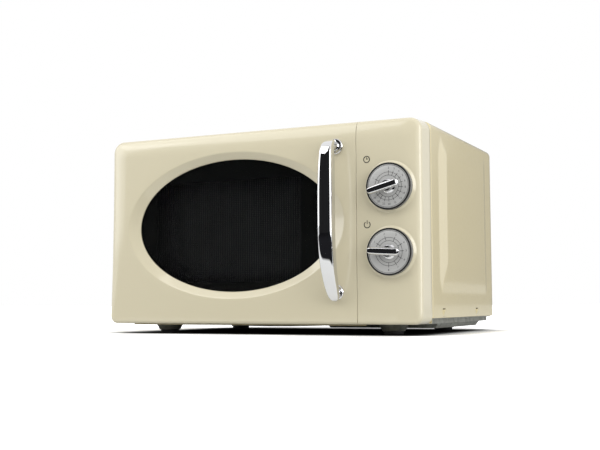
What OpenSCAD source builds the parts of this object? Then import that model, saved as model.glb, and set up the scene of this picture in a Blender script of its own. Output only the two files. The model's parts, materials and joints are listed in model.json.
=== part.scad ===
// Countertop microwave oven of about 20 litres, with two rotary controls and a bow handle.
// +Z is up and the door faces -Y. The origin lies on the table under the middle of the oven.
// Every part is drawn by depth, measured backwards from the face of the door, and from_face()
// puts it in place. X runs from the hinge side (left) to the control side (right).

/* [Cabinet] */
// Width of the cabinet
body_w = 440; // [430:1:480]
// Height of the cabinet's top above the table
body_h = 258; // [254:1:290]
// Depth from the face of the door to the back edge of the cover
body_d = 315; // [312:1:360]
// Height of the door's lower edge above the table
ground_gap = 13; // [12:0.5:16]
// Thickness of the cover's painted sheet
cover_t = 0.8; // [0.6:0.1:1]
// Thickness of the sheet of the cavity, base, brackets and plates
sheet = 1; // [0.8:0.1:1.2]
// Height of the pressed panel in each side of the cover
press_h = 1.5; // [1:0.1:2]
// Length of the spacer bumps on the back
bumper = 5; // [4:0.5:8]

/* [Front mouldings] */
// Width of the control panel
panel_w = 81; // [78:1:90]
// Gap between the door and the control panel
seam = 1; // [0.8:0.1:2]
// Depth of the door
door_d = 38; // [37:0.5:42]
// Wall of the door frame and the control panel
wall = 2.5; // [2:0.1:3]
// Radius along the front edges
edge_r = 16; // [12:0.5:18]
// Radius along the lower front edge
lower_edge_r = 8; // [6:0.5:10]
// Corner radius of the front at the top
corner_r = 14; // [10:0.5:16]
// Width of the oval window at the face of the door
window_w = 311; // [280:1:316]
// Height of the oval window at the face of the door
window_h = 186; // [160:1:190]
// Depth of the window's sloping rim
window_rim = 7; // [5:0.5:8]
// Distance of the oval's middle from the middle of the door
window_shift = 7.5; // [4:0.5:10]
// Thickness of the door glass
glass_t = 3; // [2:0.5:4]

/* [Handle] */
// How far the handle stands out from the door
handle_reach = 37; // [32:1:45]
// Length of the handle
handle_len = 192; // [180:1:200]
// Width of the grip
grip_w = 19; // [15:0.5:22]
// Thickness of the grip
grip_t = 18; // [12:0.5:20]
// Distance between the handle's two posts
post_pitch = 176; // [165:1:180]

/* [Controls] */
// Diameter of each dial
dial_dia = 55.5; // [50:0.5:58]
// Height of a dial's face above the panel
dial_h = 7.5; // [5:0.5:10]
// Height of the timer dial's middle above the table
timer_z = 175; // [170:1:180]
// Height of the power dial's middle above the table
power_z = 98; // [94:1:102]
// Length of the knob's bar from the shaft to the pointer's tip
pointer_len = 24; // [18:0.5:25]
// Length of the knob's bar from the shaft to its tail
tail_len = 16; // [12:0.5:20]
// Width of the knob's bar
bar_w = 9; // [7:0.5:11]
// Height of the knob above the dial's face
knob_h = 11; // [9:0.5:14]
// Radius of the control shafts
shaft_r = 3; // [2.5:0.1:3.5]
// Turn of the timer's pointer below the horizontal, where it stands at zero
timer_rest = -15; // [-30:1:30]
// Turn of the power knob's pointer at its lowest setting
power_rest = 3.5; // [-30:0.5:30]

/* [Oven cavity] */
// Inner width of the cavity
cavity_w = 306; // [300:1:310]
// Inner height of the cavity
cavity_h = 208; // [200:1:209]
// Inner depth of the cavity
cavity_d = 268; // [255:1:269]
// Space between the cavity and the cabinet's left edge
cavity_side = 26; // [26:0.5:30]

/* [Turntable] */
// Diameter of the glass tray
tray_dia = 245; // [225:1:252]
// Radius of the three rollers
roller_r = 8; // [7:0.1:9]
// Radius of the circle on which the rollers run
track_r = 88; // [80:1:95]
// Radius of the turntable's drive shaft
drive_r = 3.5; // [3:0.1:4]

/* [Door hinge and latch] */
// Radius of the hinge pins
pin_r = 2.5; // [2:0.1:3]
// Distance of the hinge pins from the door's left and rear faces
hinge_in = 10; // [9:0.5:11]
// Travel of the latch plate
latch_travel = 5; // [3:0.5:6]

/* [Feet] */
// Height of the rubber feet
foot_h = 4; // [3:0.5:5]
// Radius of the rubber feet
foot_r = 12.5; // [10:0.5:14]
// Distance of the feet from the middle, to each side
foot_x = 162; // [150:1:165]
// Depth of the front feet
foot_front = 60; // [58:1:70]
// Distance of the rear feet from the back edge
foot_rear = 55; // [50:1:60]

/* [Hidden] */

$fn = 48;
eps = 0.01;            // overlap that joins two solids of one piece
run = 0.3;             // clearance between two pieces that lie or move close together
fit = 0.06;            // radial clearance of a shaft in its bearing
screw_r = 1.9;         // shank of a self-tapping screw
arc_n = 8;             // flats in a quarter turn of a moulded edge

cream = [0.81, 0.78, 0.67];
dark = [0.1, 0.1, 0.11];
steel = [0.62, 0.63, 0.62];
chrome = [0.85, 0.85, 0.86];
copper = [0.72, 0.42, 0.22];
nylon = [0.88, 0.87, 0.82];

// Places in the front: depths are from the face of the door
half_w = body_w / 2;
face_y = handle_reach - (handle_reach + body_d + bumper) / 2;
seam_x = half_w - panel_w;
door_x0 = -half_w;
door_x1 = seam_x - seam;
door_mid = (door_x0 + door_x1) / 2;
door_z0 = ground_gap;
door_z1 = body_h;
window_x = door_mid + window_shift;
window_z = (door_z0 + door_z1) / 2 + 2;
rim_ratio = 0.907;     // size of the window at the inner end of its rim
glass_d = window_rim + 0.2;
plate_d = door_d + 1;  // front face of the cabinet's front plate
cover_d = plate_d + 0.5;
hinge_x = door_x0 + hinge_in;
hinge_d = door_d - hinge_in;
hinge_z = [door_z0 + 4.6, door_z1 - 6.6];  // lower face of each hinge's tongue

// Places in the cabinet
skin_x = half_w - press_h;             // outer face of the cover's sides
floor_z = ground_gap + 1;              // upper face of the base
cover_top = body_h - 1.2;              // upper face of the cover
inner_top = cover_top - cover_t - run; // top of the plates inside the cover
cover_z0 = floor_z + 6;                // lower edge of the cover
cav_x0 = -half_w + cavity_side;
cav_x1 = cav_x0 + cavity_w;
cav_z0 = floor_z + 19;
cav_z1 = cav_z0 + cavity_h;
cav_d0 = plate_d + sheet;
cav_d1 = cav_d0 + cavity_d;
cav_mid = (cav_x0 + cav_x1) / 2;
cav_mid_d = (cav_d0 + cav_d1) / 2;
back_d = body_d - cover_t - 0.2;       // rear face of the back panel
inner_back = back_d - sheet;           // and its front face
bumper_r = 11;                         // radius and place of the spacer bumps
bumper_x = half_w - 95;
bumper_z = body_h - 42;
bay_x0 = cav_x1 + sheet;               // left side of the component bay
bay_x1 = skin_x - cover_t;             // right side of the component bay
base_d1 = body_d - 10;
foot_d = [foot_front, body_d - foot_rear];

// Door plate: the pressed pan with the wave choke round it
pan_d = door_d - 21;                   // front face of the choke's floor
pan_d1 = door_d - 4;                   // rear face of the pan
pan_x = [door_x0 + 17, door_x1 - 15];
pan_z = [door_z0 + 11, door_z1 - 8];
choke_w = 30;                          // a quarter of the wave's length
mid_x = [pan_x[0] + choke_w, pan_x[1] - choke_w];
mid_z = [pan_z[0] + choke_w - 14, pan_z[1] - choke_w + 4];
view_x = [mid_x[0] + 8, mid_x[1] - 8];
view_z = [mid_z[0] + 8, mid_z[1] - 22];
boss_in = 9;                           // distance of the door's screws from the pan's edge
stud_d = pan_d1 - 6;                   // depth of the latch plate's guide studs

// Latch
latch_x = door_x1 - 12;                // left face of the latch plate
latch_t = 3;
hook_z = [door_z0 + 52, door_z1 - 68]; // lower side of each hook
hook_h = 10;
hook_reach = 20;                       // reach of the hooks behind the door
guide_z = [door_z0 + 90, door_z1 - 98];
spring_z = [door_z0 + 22.7, door_z0 + 38];  // between its post and the latch plate

// Controls
dial_x = (seam_x + half_w) / 2 + 2;
knob_gap = run;
knob_d = -dial_h + 0.2 - knob_gap;     // foot of the knob, just above the dial's plate
hub_h = knob_h - 5;
collar_h = 2.1;                        // height of the collar round each dial
collar_w = 3.7;                        // and its width at the foot
bracket_d = 12;
unit_d = bracket_d + sheet + 0.1;
timer_box = [56, 32, 58];
power_box = [50, 24, 46];

// Turntable
drive_z = cav_z0 + 1;
roller_z = cav_z0 + run + roller_r;
tray_z = roller_z + roller_r + run;
motor_h = 14;
motor_z = cav_z0 - sheet - 0.2 - motor_h;

// Component bay
wave_x1 = bay_x0 + 26;
wave_len = 122;
wave_h = 82;
wave_d = [cav_d0 + 60, cav_d0 + 60 + wave_len];
wave_z = [cav_z0 + 75, cav_z0 + 75 + wave_h];
tube_z = wave_z[1] - 20;               // height of the magnetron's axis
tube_d = wave_d[1] - 32;               // depth of the magnetron's axis
yoke_x = [wave_x1 + 0.2, wave_x1 + 50];
fan_x = (bay_x0 + bay_x1) / 2;
fan_z = body_h - 88;
fan_r = 45;
iron_len = 72;                         // depth of the transformer's core
iron_d = [wave_d[0] + 42, wave_d[0] + 42 + iron_len];
iron_x = [bay_x0 + 12, bay_x1 - 22];
iron_h = 60;
iron_z = [floor_z - 5.9, floor_z - 5.9 + iron_h];
iron_mid = (iron_x[0] + iron_x[1]) / 2;
iron_leg = (iron_x[1] - iron_x[0]) / 4;
iron_rim = iron_leg / 1.6;             // thickness of the core round its windows
iron_core = iron_leg / 1.5;            // half the thickness of its middle leg
can_w = 52;                            // width, thickness and height of the capacitor's can
can_t = 32;
can_h = 85.8;
can_x = [bay_x0 + 12, bay_x0 + 12 + can_w];
can_d = [iron_d[1] + 22, iron_d[1] + 22 + can_t];
can_z = [floor_z - 5.8, floor_z - 5.8 + can_h];
can_r = can_t / 2 - 0.1;
terminal_in = 15;                      // distance of each terminal from the can's end
stator_d = inner_back - 26.5;          // rear face of the fan motor's frame, with its bearing

// ---------------------------------------------------------------- shapes

// Puts a part in place behind the face of the door
module from_face() { translate([0, face_y, 0]) children(); }

// A box between two limits on each axis
module block(x, y, z) {
    translate([x[0], y[0], z[0]]) cube([x[1] - x[0], y[1] - y[0], z[1] - z[0]]);
}

// A rod along Y, and one along X
module rod_y(r, y, r2 = -1) {
    translate([0, y[0], 0]) rotate([-90, 0, 0])
        cylinder(r1 = r, r2 = r2 < 0 ? r : r2, h = y[1] - y[0]);
}
module rod_x(r, x, r2 = -1) {
    translate([x[0], 0, 0]) rotate([0, 90, 0])
        cylinder(r1 = r, r2 = r2 < 0 ? r : r2, h = x[1] - x[0]);
}

function arc(c, r, a0, a1, n = arc_n) =
    [for (i = [0 : n]) c + r * [cos(a0 + (a1 - a0) * i / n), sin(a0 + (a1 - a0) * i / n)]];

// A rectangle with its own radius at each corner: left-low, right-low, right-high, left-high
function rounded(x, y, r, n = arc_n) = concat(
    arc([x[0] + r[0], y[0] + r[0]], r[0], 180, 270, n), arc([x[1] - r[1], y[0] + r[1]], r[1], 270, 360, n),
    arc([x[1] - r[2], y[1] - r[2]], r[2], 0, 90, n), arc([x[0] + r[3], y[1] - r[3]], r[3], 90, 180, n));

function ellipse(w, h, n = 72) = [for (i = [0 : n - 1]) [w / 2 * cos(360 * i / n), h / 2 * sin(360 * i / n)]];

// Extrusions along each axis between two limits
module along_z(z) { translate([0, 0, z[0]]) linear_extrude(height = z[1] - z[0]) children(); }
module along_y(y) {
    translate([0, y[1], 0]) rotate([90, 0, 0]) linear_extrude(height = y[1] - y[0]) children();
}
module along_x(x) {
    translate([x[0], 0, 0]) rotate([90, 0, 90]) linear_extrude(height = x[1] - x[0]) children();
}

// A pressed panel: a box whose edges slope by ramp between the depths y[0] and y[1] along its axis
module pressing(x, z, y, ramp) {
    hull() {
        block([x[0] - ramp, x[1] + ramp], [y[0] - eps, y[0]], [z[0] - ramp, z[1] + ramp]);
        block(x, [y[1] - eps, y[1]], z);
    }
}

// One long slot with round ends, as an outline
module slot_2d(len, w) {
    polygon(rounded([-len / 2, len / 2], [-w / 2, w / 2], [1, 1, 1, 1] * w * 0.499, 3));
}

// Swept tube along a list of points, with n sides
module tube(path, r, n = 8) {
    last = len(path) - 1;
    ring = [for (i = [0 : last]) let (
            t = path[min(i + 1, last)] - path[max(i - 1, 0)],
            f = t / norm(t),
            s = cross(f, abs(f[2]) < 0.9 ? [0, 0, 1] : [1, 0, 0]),
            u = s / norm(s),
            v = cross(u, f))
        [for (k = [0 : n - 1]) path[i] + r * (u * cos(360 * k / n) + v * sin(360 * k / n))]];
    points = [for (g = ring) each g];
    sides = [for (i = [0 : last - 1], k = [0 : n - 1]) each let (
            a = i * n + k, b = i * n + (k + 1) % n)
        [[a, a + n, b + n], [a, b + n, b]]];
    ends = [[for (k = [0 : n - 1]) k], [for (k = [n - 1 : -1 : 0]) last * n + k]];
    polyhedron(points, concat(sides, ends));
}

// ---------------------------------------------------------------- front mouldings

// The solid form of a front moulding, inset by s: rounded in plan, in side view and in front view
module moulding(x, side, depth, s = 0) {
    out_l = side == "left";
    re = edge_r - s;
    rc = corner_r - s;
    rb = max(corner_r - 4 - s, 1);
    ri = 2;
    z = [door_z0 + s, door_z1 - s];
    xs = [x[0] + s, x[1] - s];
    far = depth + (s > 0 ? 1 : 0);
    plan = out_l
        ? concat(arc([xs[0] + re, s + re], re, 180, 270), arc([xs[1] - ri, s + ri], ri, 270, 360),
            [[xs[1], far], [x[0] + hinge_in, far]],
            arc([x[0] + hinge_in, depth - hinge_in], hinge_in - s, 90, 180))
        : concat(arc([xs[0] + ri, s + ri], ri, 180, 270), arc([xs[1] - re, s + re], re, 270, 360),
            [[xs[1], far], [xs[0], far]]);
    side_view = concat([[far, z[0]], [far, z[1]]], arc([s + re, z[1] - re], re, 90, 180),
        arc([lower_edge_r, z[0] + lower_edge_r - s], lower_edge_r - s, 180, 270));
    front = rounded(xs, z, out_l ? [rb, ri, ri, rc] : [ri, rb, rc, ri]);
    intersection() {
        along_z(z) polygon(plan);
        along_x(xs) polygon(side_view);
        along_y([s, far]) polygon(front);
    }
}

// The oval window's funnel, opening towards the front, with its surface pushed out by s
module oval(s, y0, y1) {
    k = (y1 / window_rim) * (1 - rim_ratio);
    w = window_w + 2 * s;
    h = window_h + 2 * s;
    front = 1 - (y0 / window_rim) * (1 - rim_ratio);
    translate([window_x, y0, window_z]) rotate([-90, 0, 0])
        linear_extrude(height = y1 - y0, scale = (1 - k) / front) polygon(ellipse(w * front, h * front));
}

// The places of the four screws that hold the door plate
module at_bosses() {
    for (x = [pan_x[0] + boss_in, pan_x[1] - boss_in], z = [pan_z[0] + boss_in, pan_z[1] - boss_in])
        translate([x, 0, z]) children();
}

module door_frame() {
    color(cream) from_face() difference() {
        union() {
            difference() {
                moulding([door_x0, door_x1], "left", door_d);
                moulding([door_x0, door_x1], "left", door_d, wall);
            }
            intersection() {
                oval(wall, wall / 2, window_rim);
                block([door_x0 + wall, door_x1 - wall], [wall / 2, window_rim],
                    [door_z0 + wall, door_z1 - wall]);
            }
            at_bosses() rod_y(4.5, [wall - eps, pan_d - 0.1]);
            // ribs that hold the glass at its long edges
            for (z = [pan_z[0] + 12, pan_z[1] - 13.5])
                block([window_x - 90, window_x + 90], [wall - eps, glass_d + glass_t], [z, z + 1.5]);
        }
        oval(0, -eps, window_rim + eps);
        at_bosses() rod_y(screw_r + 0.1, [wall + 2, pan_d]);
        at_posts() rod_y(screw_r + 0.2, [-1, wall + 1]);
        // slots that clear the hinges' tongues as the door turns
        for (z = hinge_z) block([door_x0 - 1, hinge_x + 14], [door_d - 20, door_d + 1], [z - 1.1, z + 3.1]);
    }
}

module door_glass() {
    x = [window_x - window_w / 2 + 5, min(window_x + window_w / 2 - 5, pan_x[1])];
    z = [pan_z[0] + 14, pan_z[1] - 14];
    color(dark) from_face() along_y([glass_d, glass_d + glass_t])
        polygon(rounded(x, z, [6, 6, 6, 6]));
}

// The pressed pan of the door with its choke channel, toothed lip, pivot lugs and latch guides
module door_plate() {
    rim = [[pan_x[0], pan_x[1]], [pan_z[0], pan_z[1]]];
    lip = 9;
    tooth = 22;
    lug_z = [pan_z[0] + 1, pan_z[1] - 3];
    color(steel) from_face() {
        difference() {
            union() {
                // choke floor, outer rim and toothed lip
                difference() {
                    block(rim[0], [pan_d, pan_d1], rim[1]);
                    block([rim[0][0] + sheet, rim[0][1] - sheet], [pan_d + sheet, pan_d1 - sheet],
                        [rim[1][0] + sheet, rim[1][1] - sheet]);
                    block([rim[0][0] + lip, rim[0][1] - lip], [pan_d1 - sheet - 1, pan_d1 + 1],
                        [rim[1][0] + lip, rim[1][1] - lip]);
                    for (x = [rim[0][0] + lip + 8 : tooth : rim[0][1] - lip - 8])
                        block([x, x + 4], [pan_d1 - sheet - 1, pan_d1 + 1], [rim[1][0] + 2, rim[1][1] - 2]);
                    for (z = [rim[1][0] + lip + 8 : tooth : rim[1][1] - lip - 8])
                        block([rim[0][0] + 2, rim[0][1] - 2], [pan_d1 - sheet - 1, pan_d1 + 1], [z, z + 4]);
                }
                // raised middle that closes on the cavity's mouth
                block(mid_x, [pan_d, pan_d1], mid_z);
            }
            block([mid_x[0] + sheet, mid_x[1] - sheet], [pan_d - 1, pan_d1 - sheet],
                [mid_z[0] + sheet, mid_z[1] - sheet]);
            along_y([pan_d1 - sheet - 1, pan_d1 + 1]) polygon(rounded(view_x, view_z, [8, 8, 8, 8]));
            at_bosses() rod_y(screw_r + 0.2, [pan_d - 1, pan_d + sheet + 1]);
        }
        // pivot lugs
        for (z = lug_z) difference() {
            union() {
                translate([hinge_x, hinge_d, z]) cylinder(r = pin_r + 3.4, h = 2);
                block([hinge_x, pan_x[0] + eps], [hinge_d - 4, hinge_d + 4], [z, z + 2]);
            }
            translate([hinge_x, hinge_d, z - 1]) cylinder(r = pin_r + fit, h = 4);
        }
        // guide studs of the latch plate
        for (z = guide_z) translate([0, stud_d, z]) {
            rod_x(2.6, [pan_x[1] - eps, latch_x - run]);
            rod_x(1.5, [pan_x[1] - eps, latch_x + latch_t + 1.5]);
            rod_x(2.4, [latch_x + latch_t + run, latch_x + latch_t + 1.5]);
        }
        // post that holds the lower end of the latch spring
        translate([0, stud_d, spring_z[0] - 2.7]) {
            rod_x(1.5, [pan_x[1] - eps, latch_x + latch_t]);
            rod_x(2.4, [latch_x + latch_t - eps, latch_x + latch_t + 1]);
        }
    }
}

module door_screen() {
    color([0.2, 0.2, 0.21]) from_face() along_y([pan_d1 - sheet - 0.5, pan_d1 - sheet])
        polygon(rounded([view_x[0] - 6, view_x[1] + 6], [view_z[0] - 6, view_z[1] + 6], [6, 6, 6, 6]));
}

// Plastic cover that closes the choke channel at the back of the door
module choke_cover() {
    x = [door_x0 + hinge_in + run, door_x1 - wall - run];
    z = [door_z0 + wall + run, door_z1 - wall - run];
    d = [pan_d1 + 0.2, door_d - 0.5];
    notch_x = [x[0] - 1, hinge_x + 14.5];
    color([0.16, 0.16, 0.17]) from_face() difference() {
        along_y(d) difference() {
            polygon(rounded(x, z, [3, 3, 3, 3]));
            polygon(rounded([mid_x[0] - 2, mid_x[1] + 2],
                [mid_z[0] - 2, mid_z[1] + 2], [6, 6, 6, 6]));
            for (h = hook_z) translate([latch_x - 1, h - 1])
                square([latch_t + 2, hook_h + latch_travel + 2]);
        }
        for (end = [[z[0] - 1, door_z0 + 8.7], [door_z1 - 8.7, z[1] + 1]])
            block(notch_x, [d[0] - 1, d[1] + 1], end);
        // a step along the outer edge, where the cover clips into the frame
        difference() {
            block([x[0] - 1, x[1] + 1], [d[1] - 1, d[1] + 1], [z[0] - 1, z[1] + 1]);
            block([x[0] + 1.2, x[1] - 1.2], [d[1] - 2, d[1] + 2], [z[0] + 1.2, z[1] - 1.2]);
        }
    }
}

// ---------------------------------------------------------------- handle

function post_x() = door_x1 - 26;
function handle_mid() = (door_z0 + door_z1) / 2;
function post_z() = [handle_mid() + 2 - post_pitch / 2, handle_mid() + 2 + post_pitch / 2];

// The places of the handle's two posts
module at_posts() { for (z = post_z()) translate([post_x(), 0, z]) children(); }

// The grip's middle line stands out most at its middle and bends back to the door at both ends
function grip_out(s) = (handle_reach - grip_t / 2) - (handle_reach - grip_t / 2 - 8) * pow(abs(s), 3.2);
function grip_half_w(s) = grip_w / 2 * (1 - 0.42 * pow(abs(s), 2.6));
function grip_half_t(s) = grip_t / 2 * (1 - 0.7 * pow(abs(s), 2.4));

module handle() {
    rings = 28;
    sides = 20;
    section = [for (i = [0 : rings]) let (
            s = -1 + 2 * i / rings,
            f = sqrt(max(1 - pow(abs(s), 18), 0.05)))
        [for (k = [0 : sides - 1]) let (a = 360 * k / sides)
            [post_x() + f * grip_half_w(s) * sign(cos(a)) * pow(abs(cos(a)), 0.8),
             -grip_out(s) + f * grip_half_t(s) * sign(sin(a)) * pow(abs(sin(a)), 0.8),
             handle_mid() + s * handle_len / 2]]];
    points = [for (g = section) each g];
    faces = [for (i = [0 : rings - 1], k = [0 : sides - 1]) each let (
            a = i * sides + k, b = i * sides + (k + 1) % sides, c = a + sides, d = b + sides)
        [[a, c, b], [b, c, d]]];
    ends = [[for (k = [0 : sides - 1]) k], [for (k = [sides - 1 : -1 : 0]) rings * sides + k]];
    color(chrome) from_face() difference() {
        union() {
            polyhedron(points, concat(faces, ends));
            at_posts() {
                rod_y(6.5, [-11, -0.1]);
                rod_y(9.5, [-2.4, -0.1]);
            }
        }
        at_posts() rod_y(screw_r + 0.05, [-9, 1]);
    }
}

module handle_screws() {
    color(steel) from_face() at_posts() {
        rod_y(screw_r, [-8.5, wall + 0.1]);
        rod_y(3.6, [wall + 0.1 - eps, wall + 2.3]);
    }
}

// Screws that hold the door plate on the frame's bosses
module plate_screws() {
    color(steel) from_face() at_bosses() {
        rod_y(screw_r, [wall + 3, pan_d + sheet + 0.1]);
        rod_y(3.6, [pan_d + sheet + 0.1 - eps, pan_d + sheet + 2], 2.4);
    }
}

// ---------------------------------------------------------------- latch and hinges

module latch_plate() {
    d = [pan_d1 - 10, pan_d1 - 2];
    x = [latch_x, latch_x + latch_t];
    z = [door_z0 + 46, hook_z[1] + hook_h];
    tip = door_d + hook_reach;
    color(nylon) from_face() difference() {
        union() {
            block(x, d, z);
            for (h = hook_z) along_x(x)
                polygon([[d[0], h], [tip - 6, h], [tip - 6, h + 2], [tip - 3, h + 2], [tip, h + hook_h - 3],
                    [tip - 1, h + hook_h], [d[0], h + hook_h]]);
            block([latch_x, latch_x + latch_t], [stud_d - 2.5, stud_d + 2.5], [z[0] - 8, z[0] + eps]);
        }
        for (g = guide_z) {
            block([latch_x - 1, latch_x + latch_t + 1], [stud_d - 1.5 - 0.15, stud_d + 1.5 + 0.15],
                [g - latch_travel - 1, g + 1]);
            for (e = [g - latch_travel - 1, g + 1]) translate([0, stud_d, e])
                rod_x(1.65, [latch_x - 1, latch_x + latch_t + 1]);
        }
        translate([0, stud_d, z[0] - 5]) rod_x(1.2, [latch_x - 1, latch_x + latch_t + 1]);
    }
}

// Extension spring that draws the hooks down: a coil with a hook at each end
module latch_spring() {
    turns = 8;
    r = 2;
    z = [spring_z[0] + 0.2, spring_z[1] - 0.65];
    steps = turns * 10;
    coil = [for (i = [0 : steps]) let (a = 360 * turns * i / steps)
        [latch_x + latch_t / 2 + r * cos(a), stud_d + r * sin(a), z[0] + (z[1] - z[0]) * i / steps]];
    color(steel) from_face() tube(coil, 0.35, 6);
}

// A hinge: a tongue that reaches into the door from a leg on the front plate, and its pin
module hinge(z, up) {
    pin = up ? [z + 2 - eps, z + 13.5] : [z - 11.5, z + eps];
    leg = up ? [z, z + 24] : [z - 22, z + 2];
    toward = up ? 1 : -1;
    color(steel) from_face() difference() {
        union() {
            translate([hinge_x, hinge_d, z]) cylinder(r = pin_r + 3.5, h = 2);
            block([hinge_x - 3, hinge_x + 6], [hinge_d, cav_d0 + 1.2], [z, z + 2]);
            block([hinge_x - 3, hinge_x + 12], [cav_d0 + 0.2, cav_d0 + 2.2], leg);
            translate([hinge_x, hinge_d, pin[0]]) cylinder(r = pin_r, h = pin[1] - pin[0]);
            // the shoulder that the door rests on
            if (up) translate([hinge_x, hinge_d, z + 2 - eps])
                cylinder(r = pin_r + 1.5, h = pan_z[0] + 1 - run - z - 2);
        }
        for (e = [8, 18]) translate([hinge_x + 4.5, 0, z + 1 + toward * e])
            rod_y(screw_r, [cav_d0 - 1, cav_d0 + 3]);
    }
}
module upper_hinge() { hinge(hinge_z[1], false); }
module lower_hinge() { hinge(hinge_z[0], true); }

// Openings that the hooks pass through, between two depths
module hook_openings(d) {
    for (h = hook_z)
        block([latch_x - 2.2, latch_x + latch_t + 3], d, [h - 1.5, h + hook_h + latch_travel + 3]);
}

// Moulded carrier behind the front plate: catches for the hooks and pockets for the switches
module latch_body() {
    x = [bay_x0 + 1.5, latch_x + latch_t + 8];
    d = [cav_d0 + 0.1, door_d + hook_reach + 14];
    z = [hook_z[0] - 12, hook_z[1] + hook_h + 22];
    color([0.85, 0.84, 0.8]) from_face() difference() {
        block(x, d, z);
        block([x[0] + 2, x[1] - 2], [d[0] + 2, d[1] + 1], [z[0] + 4, z[1] - 4]);
        hook_openings([d[0] - 1, d[1] + 1]);
        for (e = [z[0] + 30 : 18 : z[1] - 30]) block([x[0] - 1, x[0] + 3], [d[0] + 8, d[1] - 6], [e, e + 10]);
    }
    // pegs that pass through the switches
    color([0.85, 0.84, 0.8]) from_face() for (s = switches(), e = s[1]) translate([0, switch_d() + 3, e])
        rod_x(1.4, [switch_x()[0] - 1, x[1] - 1]);
}
function switch_d() = door_d + hook_reach + 4;
function switch_x() = [latch_x - 1.5, latch_x + latch_t + 5.7];
// Lower side and height of each switch, and the heights of its peg holes
function switches() = let (above = hook_h + latch_travel)
    [for (s = [[hook_z[0] + above + 5, 20], [hook_z[1] - 24, 20], [hook_z[1] + above + 4.5, 6]])
        [s, [for (e = s[1] > 10 ? [3.2, s[1] - 3.2] : [3]) s[0] + e]]];

// Three snap switches in the latch carrier: primary, secondary and monitor
module door_switches() {
    x = switch_x();
    d = [switch_d(), switch_d() + 16];
    color([0.12, 0.12, 0.13]) from_face() for (s = switches()) let (z = s[0][0], h = s[0][1]) {
        difference() {
            block(x, d, [z, z + h]);
            for (e = s[1]) translate([0, d[0] + 3, e]) rod_x(1.5, [x[0] - 1, x[1] + 1]);
        }
        block([x[0] + 3, x[0] + 7], [d[0] - 1.6, d[0] + eps], [z + h / 2 - 1, z + h / 2 + 1]);
        for (e = [2, 7])
            block([x[0] + e, x[0] + e + 1], [d[1] - eps, d[1] + 6], [z + h / 2 - 2, z + h / 2 + 2]);
    }
}

// ---------------------------------------------------------------- control panel and knobs

module dials() { for (z = [timer_z, power_z]) translate([dial_x, 0, z]) children(); }

module control_panel() {
    x = [seam_x, half_w];
    color(cream) from_face() {
        difference() {
            moulding(x, "right", plate_d - 0.2);
            moulding(x, "right", plate_d - 0.2, wall);
            dials() rod_y(12.4, [-1, wall + 1]);
        }
        // raised collar round each dial
        dials() difference() {
            rod_y(dial_dia / 2 + 0.9, [-collar_h, eps], dial_dia / 2 + collar_w);
            rod_y(dial_dia / 2 + run / 2, [-collar_h - 1, eps + 1]);
        }
        // stiffening ribs and the posts that carry the control bracket
        for (z = [door_z0 + 34, (timer_z + power_z) / 2, door_z1 - 40])
            block([x[0] + wall - eps, x[1] - edge_r], [wall - eps, bracket_d - 0.1], [z, z + 1.6]);
    }
}

module dial_bezels() {
    color([0.45, 0.45, 0.46]) from_face() dials() difference() {
        union() {
            rod_y(dial_dia / 2 - 0.6, [-dial_h, -dial_h + 0.6], dial_dia / 2);
            rod_y(dial_dia / 2, [-dial_h + 0.6 - eps, -0.05]);
            rod_y(12, [-0.05 - eps, wall + 3]);
            for (a = [0, 120, 240]) rotate([0, a, 0]) translate([11.2, 0, 0])
                rod_y(1.6, [wall + 0.3, wall + 1.6]);
        }
        rod_y(dial_dia / 2 - 1.3, [-dial_h - 1, -dial_h + 0.8]);
        rod_y(shaft_r + 2, [-dial_h, wall + 4]);
        rod_y(9, [-dial_h + 3, wall + 4]);
    }
}

module dial_plates() {
    color([0.72, 0.72, 0.71]) from_face() dials() difference() {
        rod_y(dial_dia / 2 - 1.45, [-dial_h + 0.2, -dial_h + 0.8]);
        rod_y(shaft_r + 2, [-dial_h - 1, 1]);
    }
}

// A knob: a round hub under a bar that ends in a pointer
module knob() {
    bar = [knob_d - knob_h, knob_d - hub_h + eps];
    difference() {
        union() {
            rod_y(7.6, [knob_d - hub_h, knob_d], 9);
            along_y(bar) polygon(concat(
                [[-pointer_len, -1.2], [-pointer_len + 5, -bar_w / 2]],
                arc([tail_len - bar_w / 2, 0], bar_w / 2, -90, 90, 10),
                [[-pointer_len + 5, bar_w / 2], [-pointer_len, 1.2]]));
        }
        // sloping shoulders of the bar
        for (m = [0, 1]) mirror([0, 0, m]) translate([0, bar[0], bar_w / 2]) rotate([30, 0, 0])
            block([-40, 40], [-6, 0.01], [-2.6, 6]);
        rod_y(shaft_r + 0.05, [knob_d - hub_h - 1.5, knob_d + 1]);
    }
}

module control_shaft(tail) { rod_y(shaft_r, [knob_d - hub_h - 1.2, unit_d + tail]); }

module at_dial(z) { from_face() translate([dial_x, 0, z]) children(); }

module timer_knob() { color(chrome) at_dial(timer_z) rotate([0, timer_rest, 0]) knob(); }
module timer_shaft() { color(steel) at_dial(timer_z) control_shaft(14); }
module power_knob() { color(chrome) at_dial(power_z) rotate([0, power_rest, 0]) knob(); }
module power_shaft() { color(steel) at_dial(power_z) control_shaft(12); }

// Plate behind the panel that carries the timer and the power switch
module control_bracket() {
    x = [seam_x + wall + 1, half_w - wall - 6];
    z = [power_z - 34, timer_z + 38];
    color(steel) from_face() difference() {
        union() {
            block(x, [bracket_d, bracket_d + sheet], z);
            for (e = [x[0], x[1] - sheet]) block([e, e + sheet], [bracket_d, bracket_d + 8], z);
        }
        dials() rod_y(shaft_r + fit + 0.4, [bracket_d - 1, bracket_d + sheet + 1]);
        for (e = [timer_z + 34, power_z - 30]) translate([dial_x, 0, e])
            rod_y(screw_r, [bracket_d - 1, bracket_d + 2]);
    }
}

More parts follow.
